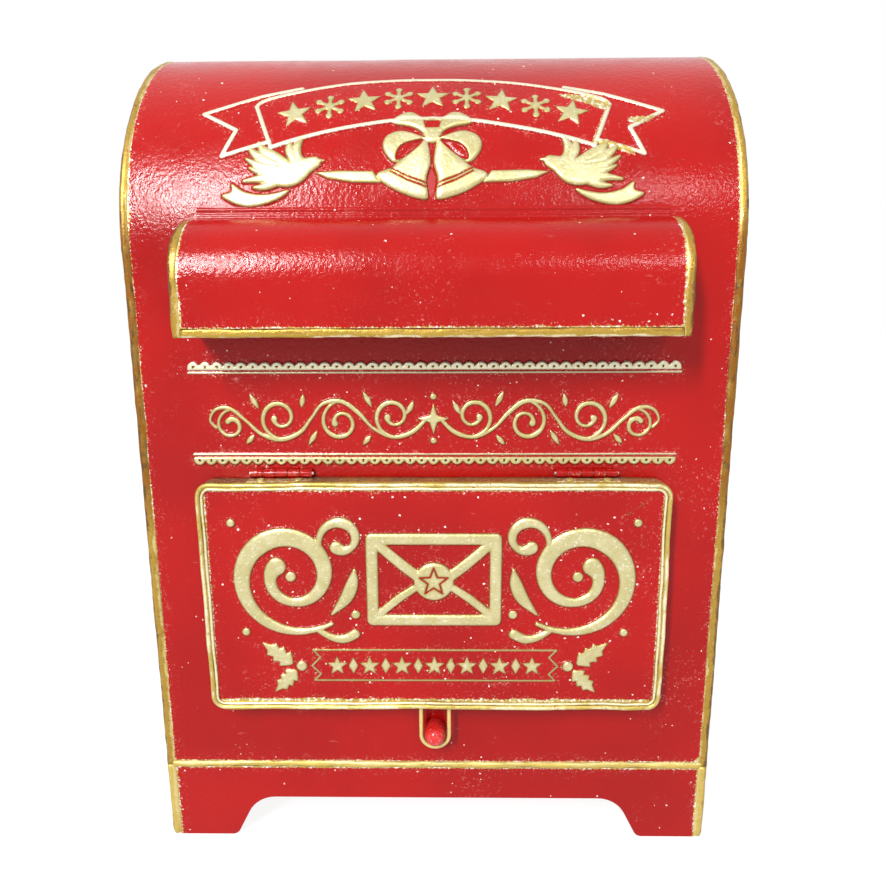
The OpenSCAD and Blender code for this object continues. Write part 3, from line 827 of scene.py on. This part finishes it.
def enamel(name, paint=None, spill=None):
    """Red enamel, with gold where paint is below nought and ragged gold where spill is.

    Both are distances: paint names a layer, and spill names one or is a function that works it out.
    """
    n = Nodes(name)
    paint = paint and n.layer(paint)
    spill = spill(n) if callable(spill) else spill and n.layer(spill)
    nearest = n.least(paint, spill) if paint and spill else paint or spill
    colour, roughness, peel = red_coat(n, nearest)
    normal = n.bump(peel, 0.2)
    metallic = 0.0
    if nearest:
        dust = n.times(n.marks(0.8, 3, 0.61, 0.66, rough=0.75), n.step(nearest, 2.6, 0.2))
        dust = n.times(dust, n.marks(12, 3, 0.46, 0.60, rough=0.6))
        colour = n.cover(colour, IVORY, dust, 0.8)
        gilt = 0.0
        if paint:
            gilt = n.step(n.plus(paint, n.swing(n.noise(1.0, 3, 0.6), 0.8)), 0.07, -0.07)
            # Painted light: where the tone layer is above nought the gold is whitened as painted highlight,
            # and below nought it is darkened to dark brown as painted shade.
            tone = n.layer("tone")
            gold = n.mix(n.step(tone, 0, 1, 0, 0.9), gold_coat(n, paint), CHALK_AND_HIGHLIGHT)
            colour = n.mix(gilt, colour, n.mix(n.step(tone, -0.2, -0.8), gold, UMBER))
        if spill:
            splash = n.step(n.plus(spill, n.swing(n.noise(0.9, 4, 0.75), 3.4)), 0.12, -0.12)
            colour = n.mix(splash, colour, n.mix(n.marks(1.6, 4, 0.46, 0.62, rough=0.7), STRAW, CHALK_AND_HIGHLIGHT))
            gilt = n.most(gilt, splash)
        roughness = n.step(gilt, 0, 1, roughness, 0.34)
        metallic = n.times(gilt, 0.7)
        normal = n.bump(n.noise(0.8, 3), 0.05, normal)
    return n.finish(colour, roughness, metallic, normal, specular=0.22)


def rolled_gold(name, light, middle, dark, spread=0.0, matte=0.0):
    """Gold brushed along a rolled edge, from light where the layer "across" is 0 to dark where it is 1.

    The layers "bronze", "wall" and "unseen" mark where it is darker and browner, speckled and left red.
    """
    n = Nodes(name)
    across = n.layer("across")
    run = n.add("ShaderNodeCombineXYZ")
    n.feed(run.inputs[0], n.times(n.layer("along"), 0.10 * MM))
    n.feed(run.inputs[1], n.times(across, 2.0 * MM))
    streak = n.noise(0.8, 4, 0.6, run.outputs[0])
    patch = n.noise(7, 4, 0.6)
    edge = n.plus(n.plus(across, n.swing(streak, 0.7)), n.swing(patch, 0.9))
    edge = n.plus(edge, n.times(n.marks(48, 2, 0.42, 0.60), 0.22))
    colour = n.mix(n.step(edge, 0.22 + spread, 0.5 + spread), light, middle)
    colour = n.cover(colour, dark, n.step(edge, 0.82 + spread, 1.08 + spread), 0.8)
    colour = n.cover(colour, dark, n.marks(1.2, 4, 0.55, 0.66, rough=0.75), 0.5)
    # Painted glints: ivory flecks that stand in for highlights on the rolled gold.
    painted_glint = n.marks(0.9, 3, 0.62, 0.70, rough=0.7, place=n.stretched(1.2, 1, 0.8))
    colour = n.cover(colour, IVORY, painted_glint, 0.55)
    wall = n.layer("wall")
    colour = n.cover(colour, RUST, n.times(wall, n.marks(1.4, 4, 0.44, 0.52, rough=0.7)), 0.5)
    colour = n.cover(colour, IVORY, n.times(wall, n.marks(0.8, 4, 0.52, 0.58, rough=0.75)), 0.9)
    brown_band = n.plus(n.times(streak, 0.6), n.times(patch, 0.4))
    brown_band = n.mix(n.step(brown_band, 0.50, 0.58), BRONZE, UMBER)
    colour = n.mix(n.times(n.layer("bronze"), n.step(patch, 0.62, 0.5, 0.55, 0.95)), colour, brown_band)
    chips = n.times(n.marks(2.2, 3, 0.66, 0.70, rough=0.6), n.marks(24, 2, 0.5, 0.62))
    colour = n.mix(chips, colour, RED)
    unseen = n.layer("unseen")
    colour = n.mix(unseen, colour, THIN_RED)
    normal = n.bump(n.noise(1.1, 3, 0.6), 0.13, n.bump(streak, 0.10))
    metallic = n.step(streak, 0.3, 0.7, 0.75 - 2 * matte, 0.5 - 2 * matte)
    metallic = n.times(metallic, n.minus(1.0, unseen))
    roughness = n.step(patch, 0.3, 0.7, 0.26 + matte, 0.42 + matte)
    return n.finish(colour, roughness, metallic, normal, specular=0.35)


def mottled_gold(name):
    """Gold paint on a small part that has no brushing direction."""
    n = Nodes(name)
    colour = n.mix(n.marks(1.6, 4, 0.35, 0.68, rough=0.65), STRAW, CHAMPAGNE)
    colour = n.mix(n.marks(0.9, 3, 0.6, 0.72), colour, UMBER)
    return n.finish(colour, 0.42, 0.35, n.bump(n.noise(0.8, 3), 0.06), specular=0.4)


def knob_coat(name):
    """Bright glossy red with a few scratches; its red is lighter than the case's as painted light."""
    n = Nodes(name)
    # Painted light: the knob's red is lighter than the case's enamel, to brighten the knob where it sits
    # below the door.
    colour = n.mix(n.marks(4, 3, 0.35, 0.65), (0.50, 0.014, 0.012), (0.40, 0.008, 0.008))
    scratch = n.marks(1.1, 5, 0.58, 0.64, rough=0.75, place=n.stretched(1, 1, 0.6))
    colour = n.cover(colour, (0.70, 0.22, 0.20), scratch, 0.6)
    return n.finish(colour, 0.2, 0.0, n.bump(n.noise(1.2, 3), 0.16), specular=0.5)


def plain_steel(name):
    n = Nodes(name)
    grain = n.noise(1.2, 4, place=n.stretched(1, 1, 8))
    colour = n.mix(n.step(grain, 0.35, 0.7), (0.42, 0.42, 0.41), (0.62, 0.62, 0.60))
    return n.finish(colour, n.step(grain, 0.3, 0.7, 0.3, 0.45), 1.0, n.bump(grain, 0.02))


def inside_coat(name):
    """Thin red inside the case, with bare tin showing through."""
    n = Nodes(name)
    colour = n.mix(n.marks(30, 4, 0.35, 0.7), THIN_RED, (0.33, 0.01, 0.009))
    colour = n.cover(colour, (0.36, 0.30, 0.27), n.marks(6, 5, 0.58, 0.7, rough=0.7), 0.5)
    return n.finish(colour, 0.5, 0.0, n.bump(n.noise(2, 3), 0.03), specular=0.3)


def skirt_paint(n):
    """Distance from the gold under the base bead and beside the corner seams."""
    x, y, z = n.place_in_mm()
    from_side = n.minus(SHEET_X - 0.9, n.math("ABSOLUTE", x))
    from_end = n.minus(ROOF_R - 3.4, n.math("ABSOLUTE", n.minus(y, MID_Y)))
    return n.least(n.minus(bead_low[2] - 0.6, z), n.most(from_side, from_end))


def hinge_paint(n):
    """Distance from the gold of a hinge leaf, which is where it lies on the door's top wall."""
    front = span("left_hinge_pin")[0][1] - 1.3
    return n.minus(n.place_in_mm()[1], front)


RELIEF = enamel("embossed_enamel", "paint", "spill")
SHEET = enamel("sheet_enamel", None, "spill")
ENAMEL = enamel("plain_enamel")
SKIRT = enamel("skirt_enamel", None, skirt_paint)
HINGE_COAT = enamel("hinge_enamel", None, hinge_paint)
SEAM_GOLD = rolled_gold("seam_gold", BUTTER, HONEY, UMBER, -0.1)
BEAD_GOLD = rolled_gold("bead_gold", BUTTER, STRAW, OCHRE, 0.05, matte=0.1)
RIM_GOLD = rolled_gold("rim_gold", IVORY, STRAW, UMBER, 0.1)
HEM_GOLD = rolled_gold("hem_gold", IVORY, BRASS, OCHRE, -0.2)
KNOB_COAT = knob_coat("knob_coat")
PART_GOLD = mottled_gold("mottled_gold")
STEEL = plain_steel("plain_steel")
INSIDE = inside_coat("inside_coat")


# ---------------------------------------------------------------- the embossed sheets


def relief_piece(name, relief, place, body, keep=None):
    """A mesh piece from a relief. keep marks the cells of its grid that are there."""
    points = place(relief.x, relief.s, relief.height)
    faces = grid_faces(len(relief.ss), len(relief.xs), keep)
    layers = {"paint": relief.paint, "spill": relief.spill, "tone": relief.tone}
    add_piece(name, points, faces, body, RELIEF, layers)


def cell_middles(relief):
    x = (relief.xs[:-1] + relief.xs[1:]) / 2
    s = (relief.ss[:-1] + relief.ss[1:]) / 2
    return np.meshgrid(x, s)


def outside(relief, half, low, high):
    """Which cells lie outside an opening."""
    x, s = cell_middles(relief)
    return (np.abs(x) > half) | (s < low) | (s > high)


def sheet_relief(ss, half=None, step=3.0, outer_step=3.0):
    """A relief right across the case, with grid lines step apart as far as half on both sides."""
    inner = [(-half, step), (half, outer_step)] if half else []
    r = Relief(ruler((-SHEET_X, outer_step), *inner, SHEET_X), ss)
    r.dent(0.16, 44, 3)
    r.dent(0.06, 15, 4)
    r.height += CROWN
    r.brush_edge(SHEET_X - np.abs(r.x), SPILL, 11)
    return r


def emboss_all(r, *motifs):
    """Embosses motifs on a sheet, which keeps its own unevenness under them."""
    sheet = r.height.copy()
    r.height[:] = 0
    for motif in motifs:
        motif(r)
    r.height += sheet


def make_front_low():
    """The sheet round the opening behind the door."""
    side, low, high = door_high[0] - DOOR_LAP, door_low[2] + DOOR_LAP, door_high[2] - DOOR_LAP
    r = sheet_relief(ruler((SHEET_LOW, 3.0), (low, 3.0), (high, 3.0), LACE_LOW), side)
    r.brush_edge(r.s - SHEET_LOW, SPILL * 0.7, 15)
    relief_piece("front_sheet_low", r, on_case, "case", outside(r, side, low, high))


def make_front_middle():
    """The band of lace and scrolls over the door."""
    ss = ruler((LACE_LOW, 0.36), (187.0, FINE), (213.5, 0.36), LACE_HIGH)
    r = sheet_relief(ss, 103.0, FINE, 2.0)
    emboss_all(r, emboss_lace_strips, emboss_flourish)
    relief_piece("front_sheet_middle", r, on_case, "case")


def make_front_high():
    """The sheet with the coin slot, under the hood."""
    r = sheet_relief(ruler((LACE_HIGH, 3.0), (SLOT_LOW, 3.0), (SLOT_HIGH, 1.5), ROOF_LOW), SLOT_HALF_W)
    relief_piece("front_sheet_high", r, on_case, "case", outside(r, SLOT_HALF_W, SLOT_LOW, SLOT_HIGH))


def make_roof_front():
    """The front of the roof, with the banner, the bells and the birds."""
    r = sheet_relief(ruler((ROOF_LOW, FINE), ROOF_HIGH), 96.0, FINE, 2.0)
    emboss_all(r, emboss_banner, smear_banner, emboss_streamers, emboss_bells, emboss_bird)
    relief_piece("roof_sheet_front", r, on_case, "case")


def make_roof_back():
    """The back of the roof, as far as it laps over the back panel."""
    r = sheet_relief(ruler((ROOF_HIGH, 1.5), ROOF_END + BACK_LAP))
    relief_piece("roof_sheet_back", r, on_case, "case")


def make_door_panel():
    """The door's panel, cut round at its corners to lie inside the rolled edge."""
    r = Relief(ruler((plate_low[0], 0.45), plate_high[0]), ruler((plate_low[2], 0.45), plate_high[2]))
    for motif in (emboss_letter_emblem, emboss_ticket, emboss_holly):
        motif(r)
    r.dent(0.12, 40, 21)
    r.height += 0.14
    side, low, high = door_high[0] - DOOR_RIM, door_low[2] + DOOR_RIM, door_high[2] - DOOR_RIM
    r.brush_edge(np.minimum(side - np.abs(r.x), np.minimum(r.s - low, high - r.s)), 0.1, 31)
    r.brush_edge(r.s - low, 1.3, 33)
    for scratch, radius in (([(77.5, 158.7), (92.8, 169.6)], 0.1), ([(86.5, 148), (91, 156)], 0.05)):
        r.emboss(line(scratch, radius), 0.02, 0.5, spill=0)
    x, s = cell_middles(r)
    over_x = np.abs(x) - (door_high[0] - DOOR_CORNER)
    over_s = np.maximum(door_low[2] + DOOR_CORNER - s, s - door_high[2] + DOOR_CORNER)
    off = (over_x > 0) & (over_s > 0) & (np.hypot(over_x, over_s) > DOOR_CORNER - 1.8)
    relief_piece("door_panel_relief", r, on_door, "door", ~off)


make_front_low()
make_front_middle()
make_front_high()
make_roof_front()
make_roof_back()
make_door_panel()


# ---------------------------------------------------------------- plain sheets of the case


def sheet_piece(name, points, spill, turned=False):
    """A sheet of the case without ornament. spill is the distance to ragged gold."""
    faces = grid_faces(*points.shape[:2])
    if turned:
        faces = [f[::-1] for f in faces]
    add_piece(name, points, faces, "case", SHEET, {"spill": spill})


def make_side(side, sign):
    """Side wall: a slightly dented sheet inside the seam."""
    inner = ROOF_R - SEAM_COVER
    rows = ruler((SHEET_LOW, 4.0), (ARCH_Z, 3.0), ARCH_Z + inner - 0.05)
    half = np.sqrt(inner**2 - np.maximum(rows - ARCH_Z, 0) ** 2)
    u, z = np.meshgrid(np.linspace(-1, 1, 61), rows)
    y = half[:, None] * u
    edge = np.minimum(inner - np.hypot(y, np.maximum(z - ARCH_Z, 0)), z - SHEET_LOW)
    bulge = 0.5 + 0.3 * wander(y, z, 50, 40 + sign) + 0.1 * wander(y, z, 16, 50 + sign)
    low, high = span(f"{side}_side_panel")
    wall_x = high[0] if sign > 0 else low[0]
    x = wall_x + sign * (SKIN + bulge * np.clip(edge / 8, 0.1, 1))
    sheet_piece(f"{side}_side_sheet", places(x, MID_Y + sign * y, z), edge - overrun(SPILL, y, z, 61))


def make_back():
    """Back wall, which lies flat along its edges."""
    low, high = span("back_panel")
    x, z = np.meshgrid(ruler((low[0], 4.0), high[0]), ruler((low[2], 4.0), high[2]))
    edge = np.minimum(high[0] - np.abs(x), z - low[2])
    bulge = 0.45 + 0.3 * wander(x, z, 55, 71) + 0.08 * wander(x, z, 17, 72)
    y = high[1] + SKIN + bulge * np.clip(np.minimum(edge, high[2] - z - 10) / 8, 0.05, 1)
    sheet_piece("back_sheet", places(-x, y, z), edge - overrun(SPILL, x, z, 63))


make_side("right", 1)
make_side("left", -1)
make_back()


# ---------------------------------------------------------------- rolled gold edges of the case


SEAM_SECTION = ((0.7, -2.3), (1.15, -1.9), (1.5, -1.3), (1.72, -0.5), (1.8, 0.2), (1.62, 0.95), (1.15, 1.5),
                (0.3, 1.7), (-1.0, 1.7), (-1.7, 1.3), (-1.8, 0), (-1.8, -1.3), (-1.3, -1.8), (0.2, -2.1))


def make_side_seam(side, sign):
    """The rolled edge up the front, over the roof and down the back."""
    low, high = span(f"{side}_side_seam")
    r = (high[1] - low[1]) / 2 - SEAM_HALF
    climb = ruler((low[2] - 1.5, 1.6), ARCH_Z)[:-1]
    arc = np.linspace(0, math.pi, 190)
    turn = np.concatenate([0 * climb, arc, 0 * climb + math.pi])
    z = np.concatenate([climb, ARCH_Z + r * np.sin(arc), climb[::-1]])
    path = places((low[0] + high[0]) / 2, MID_Y - r * np.cos(turn), z)
    out = places(0, -np.cos(turn), np.sin(turn))
    scale = 1 - 0.28 * np.sin(turn)
    points, layers = sweep(path, out, (sign, 0, 0), SEAM_SECTION, scale, 0.08, 0.25, 80 + sign)
    layers["unseen"] = unseen_side(SEAM_SECTION, points)
    brown_band = np.clip(np.minimum((z - BROWN_LOW) / 26, (BROWN_HIGH - z) / 16), 0, 1)
    layers["bronze"] = each_row(brown_band, points)
    name, node = f"{side}_rolled_seam", f"{side}_side_seam"
    sweep_piece(name, points, layers, "case", SEAM_GOLD, node, inward=sign < 0)


def rounded_path(half_x, half_y, corner, step=1.6):
    """A rounded rectangle, anticlockwise from its right side, with outward directions."""
    signs = ((1, 1), (-1, 1), (-1, -1), (1, -1))

    def on_corner(k, turn):
        x, y = signs[k % 4]
        return np.array([x * (half_x - corner) + corner * math.cos(turn),
                         y * (half_y - corner) + corner * math.sin(turn)])

    points, turns = [], []
    for k in range(4):
        corner_turns = (k + np.linspace(0, 1, 9)) * math.pi / 2
        end = corner_turns[-1]
        start, following = on_corner(k, end), on_corner(k + 1, end)
        count = int(math.dist(start, following) / step)
        points += [on_corner(k, turn) for turn in corner_turns]
        points += [start + (following - start) * (i / count) for i in range(1, count)]
        turns += [*corner_turns, *[end] * (count - 1)]
    return np.array(points), np.column_stack([np.cos(turns), np.sin(turns)])


def make_base_bead():
    """The rolled bead round the bottom of the case, swollen at its corners."""
    r = (bead_high[2] - bead_low[2]) / 2
    half_y = (bead_high[1] - bead_low[1]) / 2
    flat, out = rounded_path(bead_high[0] - r, half_y - r, 3.0)
    x, y = flat.T
    to_corner = np.hypot(np.abs(x) - bead_high[0], np.abs(y) - half_y)
    scale = 1 + 0.35 * np.exp(-((to_corner / 4) ** 2))
    path, outward = places(x, MID_Y + y, bead_low[2] + r), places(*out.T, 0)
    section = lozenge(r, r, 18, 0.9)
    points, layers = sweep(path, outward, (0, 0, -1), section, scale, 0.24, 0.4, 90, closed=True)
    layers["unseen"] = unseen_side(section, points)
    sweep_piece("rolled_base_bead", points, layers, "case", BEAD_GOLD, "base_bead", closed=True, inward=True)


def make_corner_seams():
    """The seams at the skirt's corners, narrowed where they meet the floor."""
    high = span("skirt_corner_seams")[1]
    z = np.concatenate([[0, 0.3, 0.8, 1.6, 2.8], ruler((4.2, 1.5), high[2] + 1)])
    scale = np.minimum(1, 0.35 + 0.65 * np.sqrt(z / 2.8))
    for i, (sx, sy) in enumerate(((-1, -1), (1, -1), (1, 1), (-1, 1))):
        path = places(sx * (high[0] - 1.7), MID_Y + sy * (ROOF_R + 1 - SEAM_HALF), z)
        points, layers = sweep(path, (0, sy, 0), (sx, 0, 0), SEAM_SECTION, scale, 0.07, seed=100 + i)
        name, node = f"corner_seam_{i}", "skirt_corner_seams"
        sweep_piece(name, points, layers, "case", BEAD_GOLD, node, inward=sx * sy < 0)


make_side_seam("left", -1)
make_side_seam("right", 1)
make_base_bead()
make_corner_seams()


# ---------------------------------------------------------------- hood


HOOD_R = FRONT_Y - hood_low[1]
HOOD_Z = span("hood_left_seam")[1][2] - 0.6 - HOOD_R
HOOD_TOP = HOOD_Z + HOOD_R
FLANGE_TOP = hood_high[2]


def hood_profile():
    """Points (y, z) of the hood's outside, from the top of its flange to its hem."""
    z = np.linspace(FLANGE_TOP, HOOD_TOP + 1.4, 9)
    flange = np.column_stack([MID_Y - np.sqrt((ROOF_R + 0.62) ** 2 - (z - ARCH_Z) ** 2), z])
    a = np.linspace(0.3, 1.45, 5)
    bend = np.column_stack([flange[-1, 0] - 1.3 * (1 - np.cos(a)) - 0.2, z[-1] - 1.3 * np.sin(a)])
    t = np.radians(np.linspace(90, 180, 50)[1:])
    arc = np.column_stack([FRONT_Y + (HOOD_R + SKIN) * np.cos(t), HOOD_Z + (HOOD_R + SKIN) * np.sin(t)])
    z = ruler((HOOD_Z - 1.2, -1.2), hood_low[2] + 0.2)
    return np.vstack([flange, bend, arc, np.column_stack([0 * z + hood_low[1] - SKIN, z])])


def make_hood():
    """The hood's sheet, with two ridges along its flange."""
    profile = hood_profile()
    step = np.linalg.norm(np.diff(profile, axis=0), axis=1)
    along = np.concatenate([[0], np.cumsum(step)])
    out = np.gradient(profile, axis=0)
    out = np.column_stack([-out[:, 1], out[:, 0]]) / np.linalg.norm(out, axis=1)[:, None]
    out *= np.where(out[:, 0] > 0, -1, 1)[:, None]
    out[profile[:, 1] > HOOD_TOP - 0.02] = (-0.95, 0.3)
    half = hood_high[0] + 0.1
    x, s = np.meshgrid(ruler((-half, 1.6), half), along)
    flange = FLANGE_TOP - HOOD_TOP + 1.5
    h = CROWN + 0.14 * wander(x, s, 38, 121) + 0.05 * wander(x, s, 12, 122)
    h = h * np.clip((s - flange) / 6, 0.0, 1)
    for ridge in (1.3, 3.4):
        h = h + 0.45 * np.exp(-(((s - ridge) / 0.55) ** 2))
    h = h + 0.16 * np.exp(-(((s - 2.2) / 1.6) ** 2)) * (x > 62)
    points = places(x, profile[:, :1] + out[:, :1] * h, profile[:, 1:] + out[:, 1:] * h)
    edge = np.minimum(hood_high[0] - np.abs(x) + 12 * (s < flange), along[-1] - s + 0.2)
    crease = 1.0 + 0.45 * np.abs(s - flange - 1.2)
    spill = np.minimum(edge - overrun(0.55, x, s, 123, 0.5, 0.4, 8, 2.5), crease)
    sheet_piece("hood_cover", points, spill, turned=True)


def make_hood_edge(side, sign):
    """The rolled edge at one end of the hood, which thins out towards the flange."""
    low, high = span(f"hood_{side}_seam")
    r = HOOD_R - 0.5
    climb = ruler((low[2], 1.0), HOOD_Z)
    arc = np.radians(np.linspace(180, 92, 44)[1:])
    turn = np.concatenate([0 * climb + math.pi, arc])
    z = np.concatenate([climb, HOOD_Z + r * np.sin(arc)])
    path = places((low[0] + high[0]) / 2, FRONT_Y + r * np.cos(turn), z)
    out = places(0, np.cos(turn), np.sin(turn))
    u = np.linspace(0, 1, len(path))
    scale = np.interp(u, [0, 0.05, 0.62, 1], [0.9, 1.0, 1.0, 0.42])
    section = lozenge(1.1, 1.65, 20, 0.6)
    points, layers = sweep(path, out, (sign, 0, 0), section, scale, 0.10, 0.2, 130 + sign)
    layers["wall"] = each_row(np.clip((u - 0.93) / 0.03, 0, 1), points)
    sweep_piece(f"hood_{side}_edge", points, layers, "case", SEAM_GOLD, f"hood_{side}_seam", inward=sign > 0)


def make_hood_hem():
    middle = (hem_low + hem_high) / 2
    path = places(ruler((hem_low[0], 1.3), hem_high[0]), middle[1], middle[2])
    section = lozenge(1.05, 1.65, 18, 0.7)
    points, layers = sweep(path, (0, -1, 0), (0, 0, 1), section, wobble=0.12, bend=0.15, seed=140)
    sweep_piece("hood_hem", points, layers, "case", HEM_GOLD, "hood_lip_hem")


make_hood()
make_hood_edge("left", -1)
make_hood_edge("right", 1)
make_hood_hem()


# ---------------------------------------------------------------- door frame, latch and knob


def make_door_frame():
    """Walls and rolled edge of the door, in one section swept round it."""
    deep = door_high[1] - door_low[1]
    # How far out from the door's side, how far behind its front, and how dark the gold is there; the dark in
    # the groove between the two rolls and beside the panel is painted shade.
    section = ((0, deep, 1), (0.05, deep * 0.6, 1), (0.05, 3.0, 1), (0.12, 1.9, 0.95), (0.02, 1.1, 0.8),
               (-0.35, 0.4, 0.5), (-1.0, 0.1, 0.3), (-1.6, 0.3, 0.42), (-1.95, 0.85, 0.9), (-2.1, 1.0, 1),
               (-2.3, 0.75, 0.4), (-2.75, 0.5, 0.05), (-3.2, 0.8, 0.15), (-3.4, 1.4, 0.75), (-3.3, 2.2, 1),
               (-2.6, 2.9, 1), (-1.6, 3.1, 1), (-0.55, 3.2, 1), (-0.5, deep, 1))
    out_by, behind, tone = np.array(section).T
    flat, out = rounded_path(door_high[0], (door_high[2] - door_low[2]) / 2, DOOR_CORNER)
    path = places(flat[:, 0], door_low[1], flat[:, 1] + (door_high[2] + door_low[2]) / 2)
    outward = places(out[:, 0], 0, out[:, 1])
    rolled = np.column_stack([out_by, -behind])
    points, layers = sweep(path, outward, (0, -1, 0), rolled, bend=0.45, seed=150, closed=True)
    along, around = layers["along"], each_col(np.arange(len(section)) * 1.2, points)
    swell = 0.16 * wander(along, 0 * along, 9, 152) + 0.10 * wander(along, around, 3, 153)
    front = behind < 2.8
    points += outward[:, None] * (swell * front)[..., None]
    points[..., 1] += 0.12 * wander(along, 0 * along, 14, 154) * front
    layers["across"] = each_col(tone, points)
    layers["wall"] = each_col(behind > 2.5, points)
    sweep_piece("door_rim", points, layers, "door", RIM_GOLD, "door_frame", closed=True, inward=True)


def make_knob():
    """A round-nosed button on a short neck."""
    middle = (knob_low + knob_high) / 2
    r = (knob_high[0] - knob_low[0]) / 2
    nose = knob_low[1]
    profile = [(2.0, knob_high[1]), (2.0, FRONT_Y + 0.3), (3.0, FRONT_Y), (3.1, FRONT_Y - 0.9),
               (r * 0.93, FRONT_Y - 1.1), (r, FRONT_Y - 1.7), (r, nose + r * 0.98)]
    for a in np.linspace(0.12, math.pi / 2, 12):
        profile.append((max(r * math.cos(a) ** 0.9, 0.02), nose + r * (1 - math.sin(a))))
    radius, y = np.array(profile).T[..., None]
    turn = np.linspace(0, 2 * math.pi, 40, endpoint=False)
    points = places(middle[0] + radius * np.cos(turn), y, middle[2] + radius * np.sin(turn))
    faces = tube_faces(*points.shape[:2], inward=True)
    add_piece("latch_knob", points, faces, "case", KNOB_COAT, replaced=["knob"])


def make_loop():
    """Flattened wire loop, with its ends spread inside the door's lower wall."""
    wire = (loop_high[1] - loop_low[1]) / 2 - 0.7
    r = (loop_high[0] - loop_low[0]) / 2 - 0.7 - wire
    centre_z = (knob_low[2] + knob_high[2]) / 2
    top = loop_high[2]
    leg = np.concatenate([[top, top - 0.3, top - 1.0, top - 1.25], ruler((top - 2, -0.9), centre_z)])
    arc = np.radians(np.linspace(180, 360, 32)[1:])
    turn = np.concatenate([0 * leg + math.pi, arc, 0 * leg[1:] + 2 * math.pi])
    z = np.concatenate([leg, centre_z + r * np.sin(arc), leg[-2::-1]])
    path = places(r * np.cos(turn), (loop_low[1] + loop_high[1]) / 2, z)
    out = places(np.cos(turn), 0, np.sin(turn))
    scale = np.where(z > top - 1.1, 1.6, 1.0)
    points, layers = sweep(path, out, (0, 1, 0), lozenge(wire, wire, 18, 0.8), scale, 0.05, seed=160)
    sweep_piece("latch_wire", points, layers, "door", BEAD_GOLD, "latch_loop")


make_door_frame()
make_knob()
make_loop()


# ---------------------------------------------------------------- CAD nodes that stay in view


CARRIED = (
    (INSIDE, "front_and_roof_sheet back_panel left_side_panel right_side_panel floor_pan door_panel"),
    (SKIRT, "front_skirt back_skirt left_skirt right_skirt"),
    (ENAMEL, "hood_sheet hood_left_end hood_right_end left_hinge_case_leaf right_hinge_case_leaf"),
    (STEEL, "knob_washer knob_nut left_hinge_pin right_hinge_pin"),
    (HINGE_COAT, "left_hinge_door_leaf right_hinge_door_leaf"),
    (PART_GOLD, "hinge_rivets"),
)
for coat, nodes in CARRIED:
    for node in nodes.split():
        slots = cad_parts[node].data.materials
        slots.clear()
        slots.append(coat)


# ---------------------------------------------------------------- floor, light and camera


def make_floor(size=6.0):
    """A white studio floor that keeps only a faint shadow."""
    n = Nodes("studio_floor")
    glow = n.add("ShaderNodeEmission")
    glow.inputs["Color"].default_value = (1, 1, 1, 1)
    glow.inputs["Strength"].default_value = 1.1
    matt = n.add("ShaderNodeBsdfDiffuse")
    matt.inputs["Color"].default_value = (0.85, 0.85, 0.85, 1)
    blend = n.add("ShaderNodeMixShader")
    blend.inputs[0].default_value = 0.2
    n.feed(blend.inputs[1], glow.outputs[0])
    n.feed(blend.inputs[2], matt.outputs[0])
    n.feed(n.tree.nodes["Material Output"].inputs["Surface"], blend.outputs[0])
    mesh = bpy.data.meshes.new("floor")
    corners = [(-size, -size, 0), (size, -size, 0), (size, size, 0), (-size, size, 0)]
    mesh.from_pydata(corners, [], [(0, 1, 2, 3)])
    mesh.materials.append(n.material)
    put("floor", mesh)


def area_light(name, place, target, width, height, watts):
    data = bpy.data.lights.new(name, "AREA")
    data.shape = "RECTANGLE"
    data.size = width
    data.size_y = height
    data.energy = watts
    light = put(name, data)
    light.location = place
    light.rotation_euler = (Vector(target) - Vector(place)).to_track_quat("-Z", "Y").to_euler()


def make_light():
    """An even white room, a tall window in front on the left and a faint one on the right."""
    world = bpy.data.worlds.new("studio")
    world.use_nodes = True
    sky = world.node_tree.nodes["Background"]
    sky.inputs["Color"].default_value = (1, 1, 1, 1)
    sky.inputs["Strength"].default_value = 1.0
    bpy.context.scene.world = world
    bpy.context.scene.view_settings.view_transform = "Standard"
    area_light("window_left", (-0.76, -1.64, 1.38), (0, -0.06, 0.2), 0.2, 0.85, 55)
    area_light("window_right", (0.64, -1.68, 1.40), (0, -0.06, 0.2), 0.16, 0.2, 6)


def make_camera():
    """The photograph's viewpoint: close, a little above the middle, looking down."""
    place = np.array([7.8, FRONT_Y - 280.2, 242.8]) * MM
    pitch, yaw, roll = math.radians(10.93), math.radians(-0.79), math.radians(0.235)
    forward = Vector((math.sin(yaw) * math.cos(pitch), math.cos(yaw) * math.cos(pitch), -math.sin(pitch)))
    level = Vector((math.cos(yaw), -math.sin(yaw), 0))
    under = forward.cross(level)
    right = math.cos(roll) * level + math.sin(roll) * under
    down = math.cos(roll) * under - math.sin(roll) * level
    data = bpy.data.cameras.new("camera")
    data.lens = 27.61
    data.sensor_width = 36
    data.clip_start = 0.01
    camera = put("camera", data)
    turn = Matrix((right, -down, -forward)).transposed()
    camera.matrix_world = Matrix.Translation(Vector(place)) @ turn.to_4x4()
    bpy.context.scene.camera = camera


make_floor()
make_light()
make_camera()
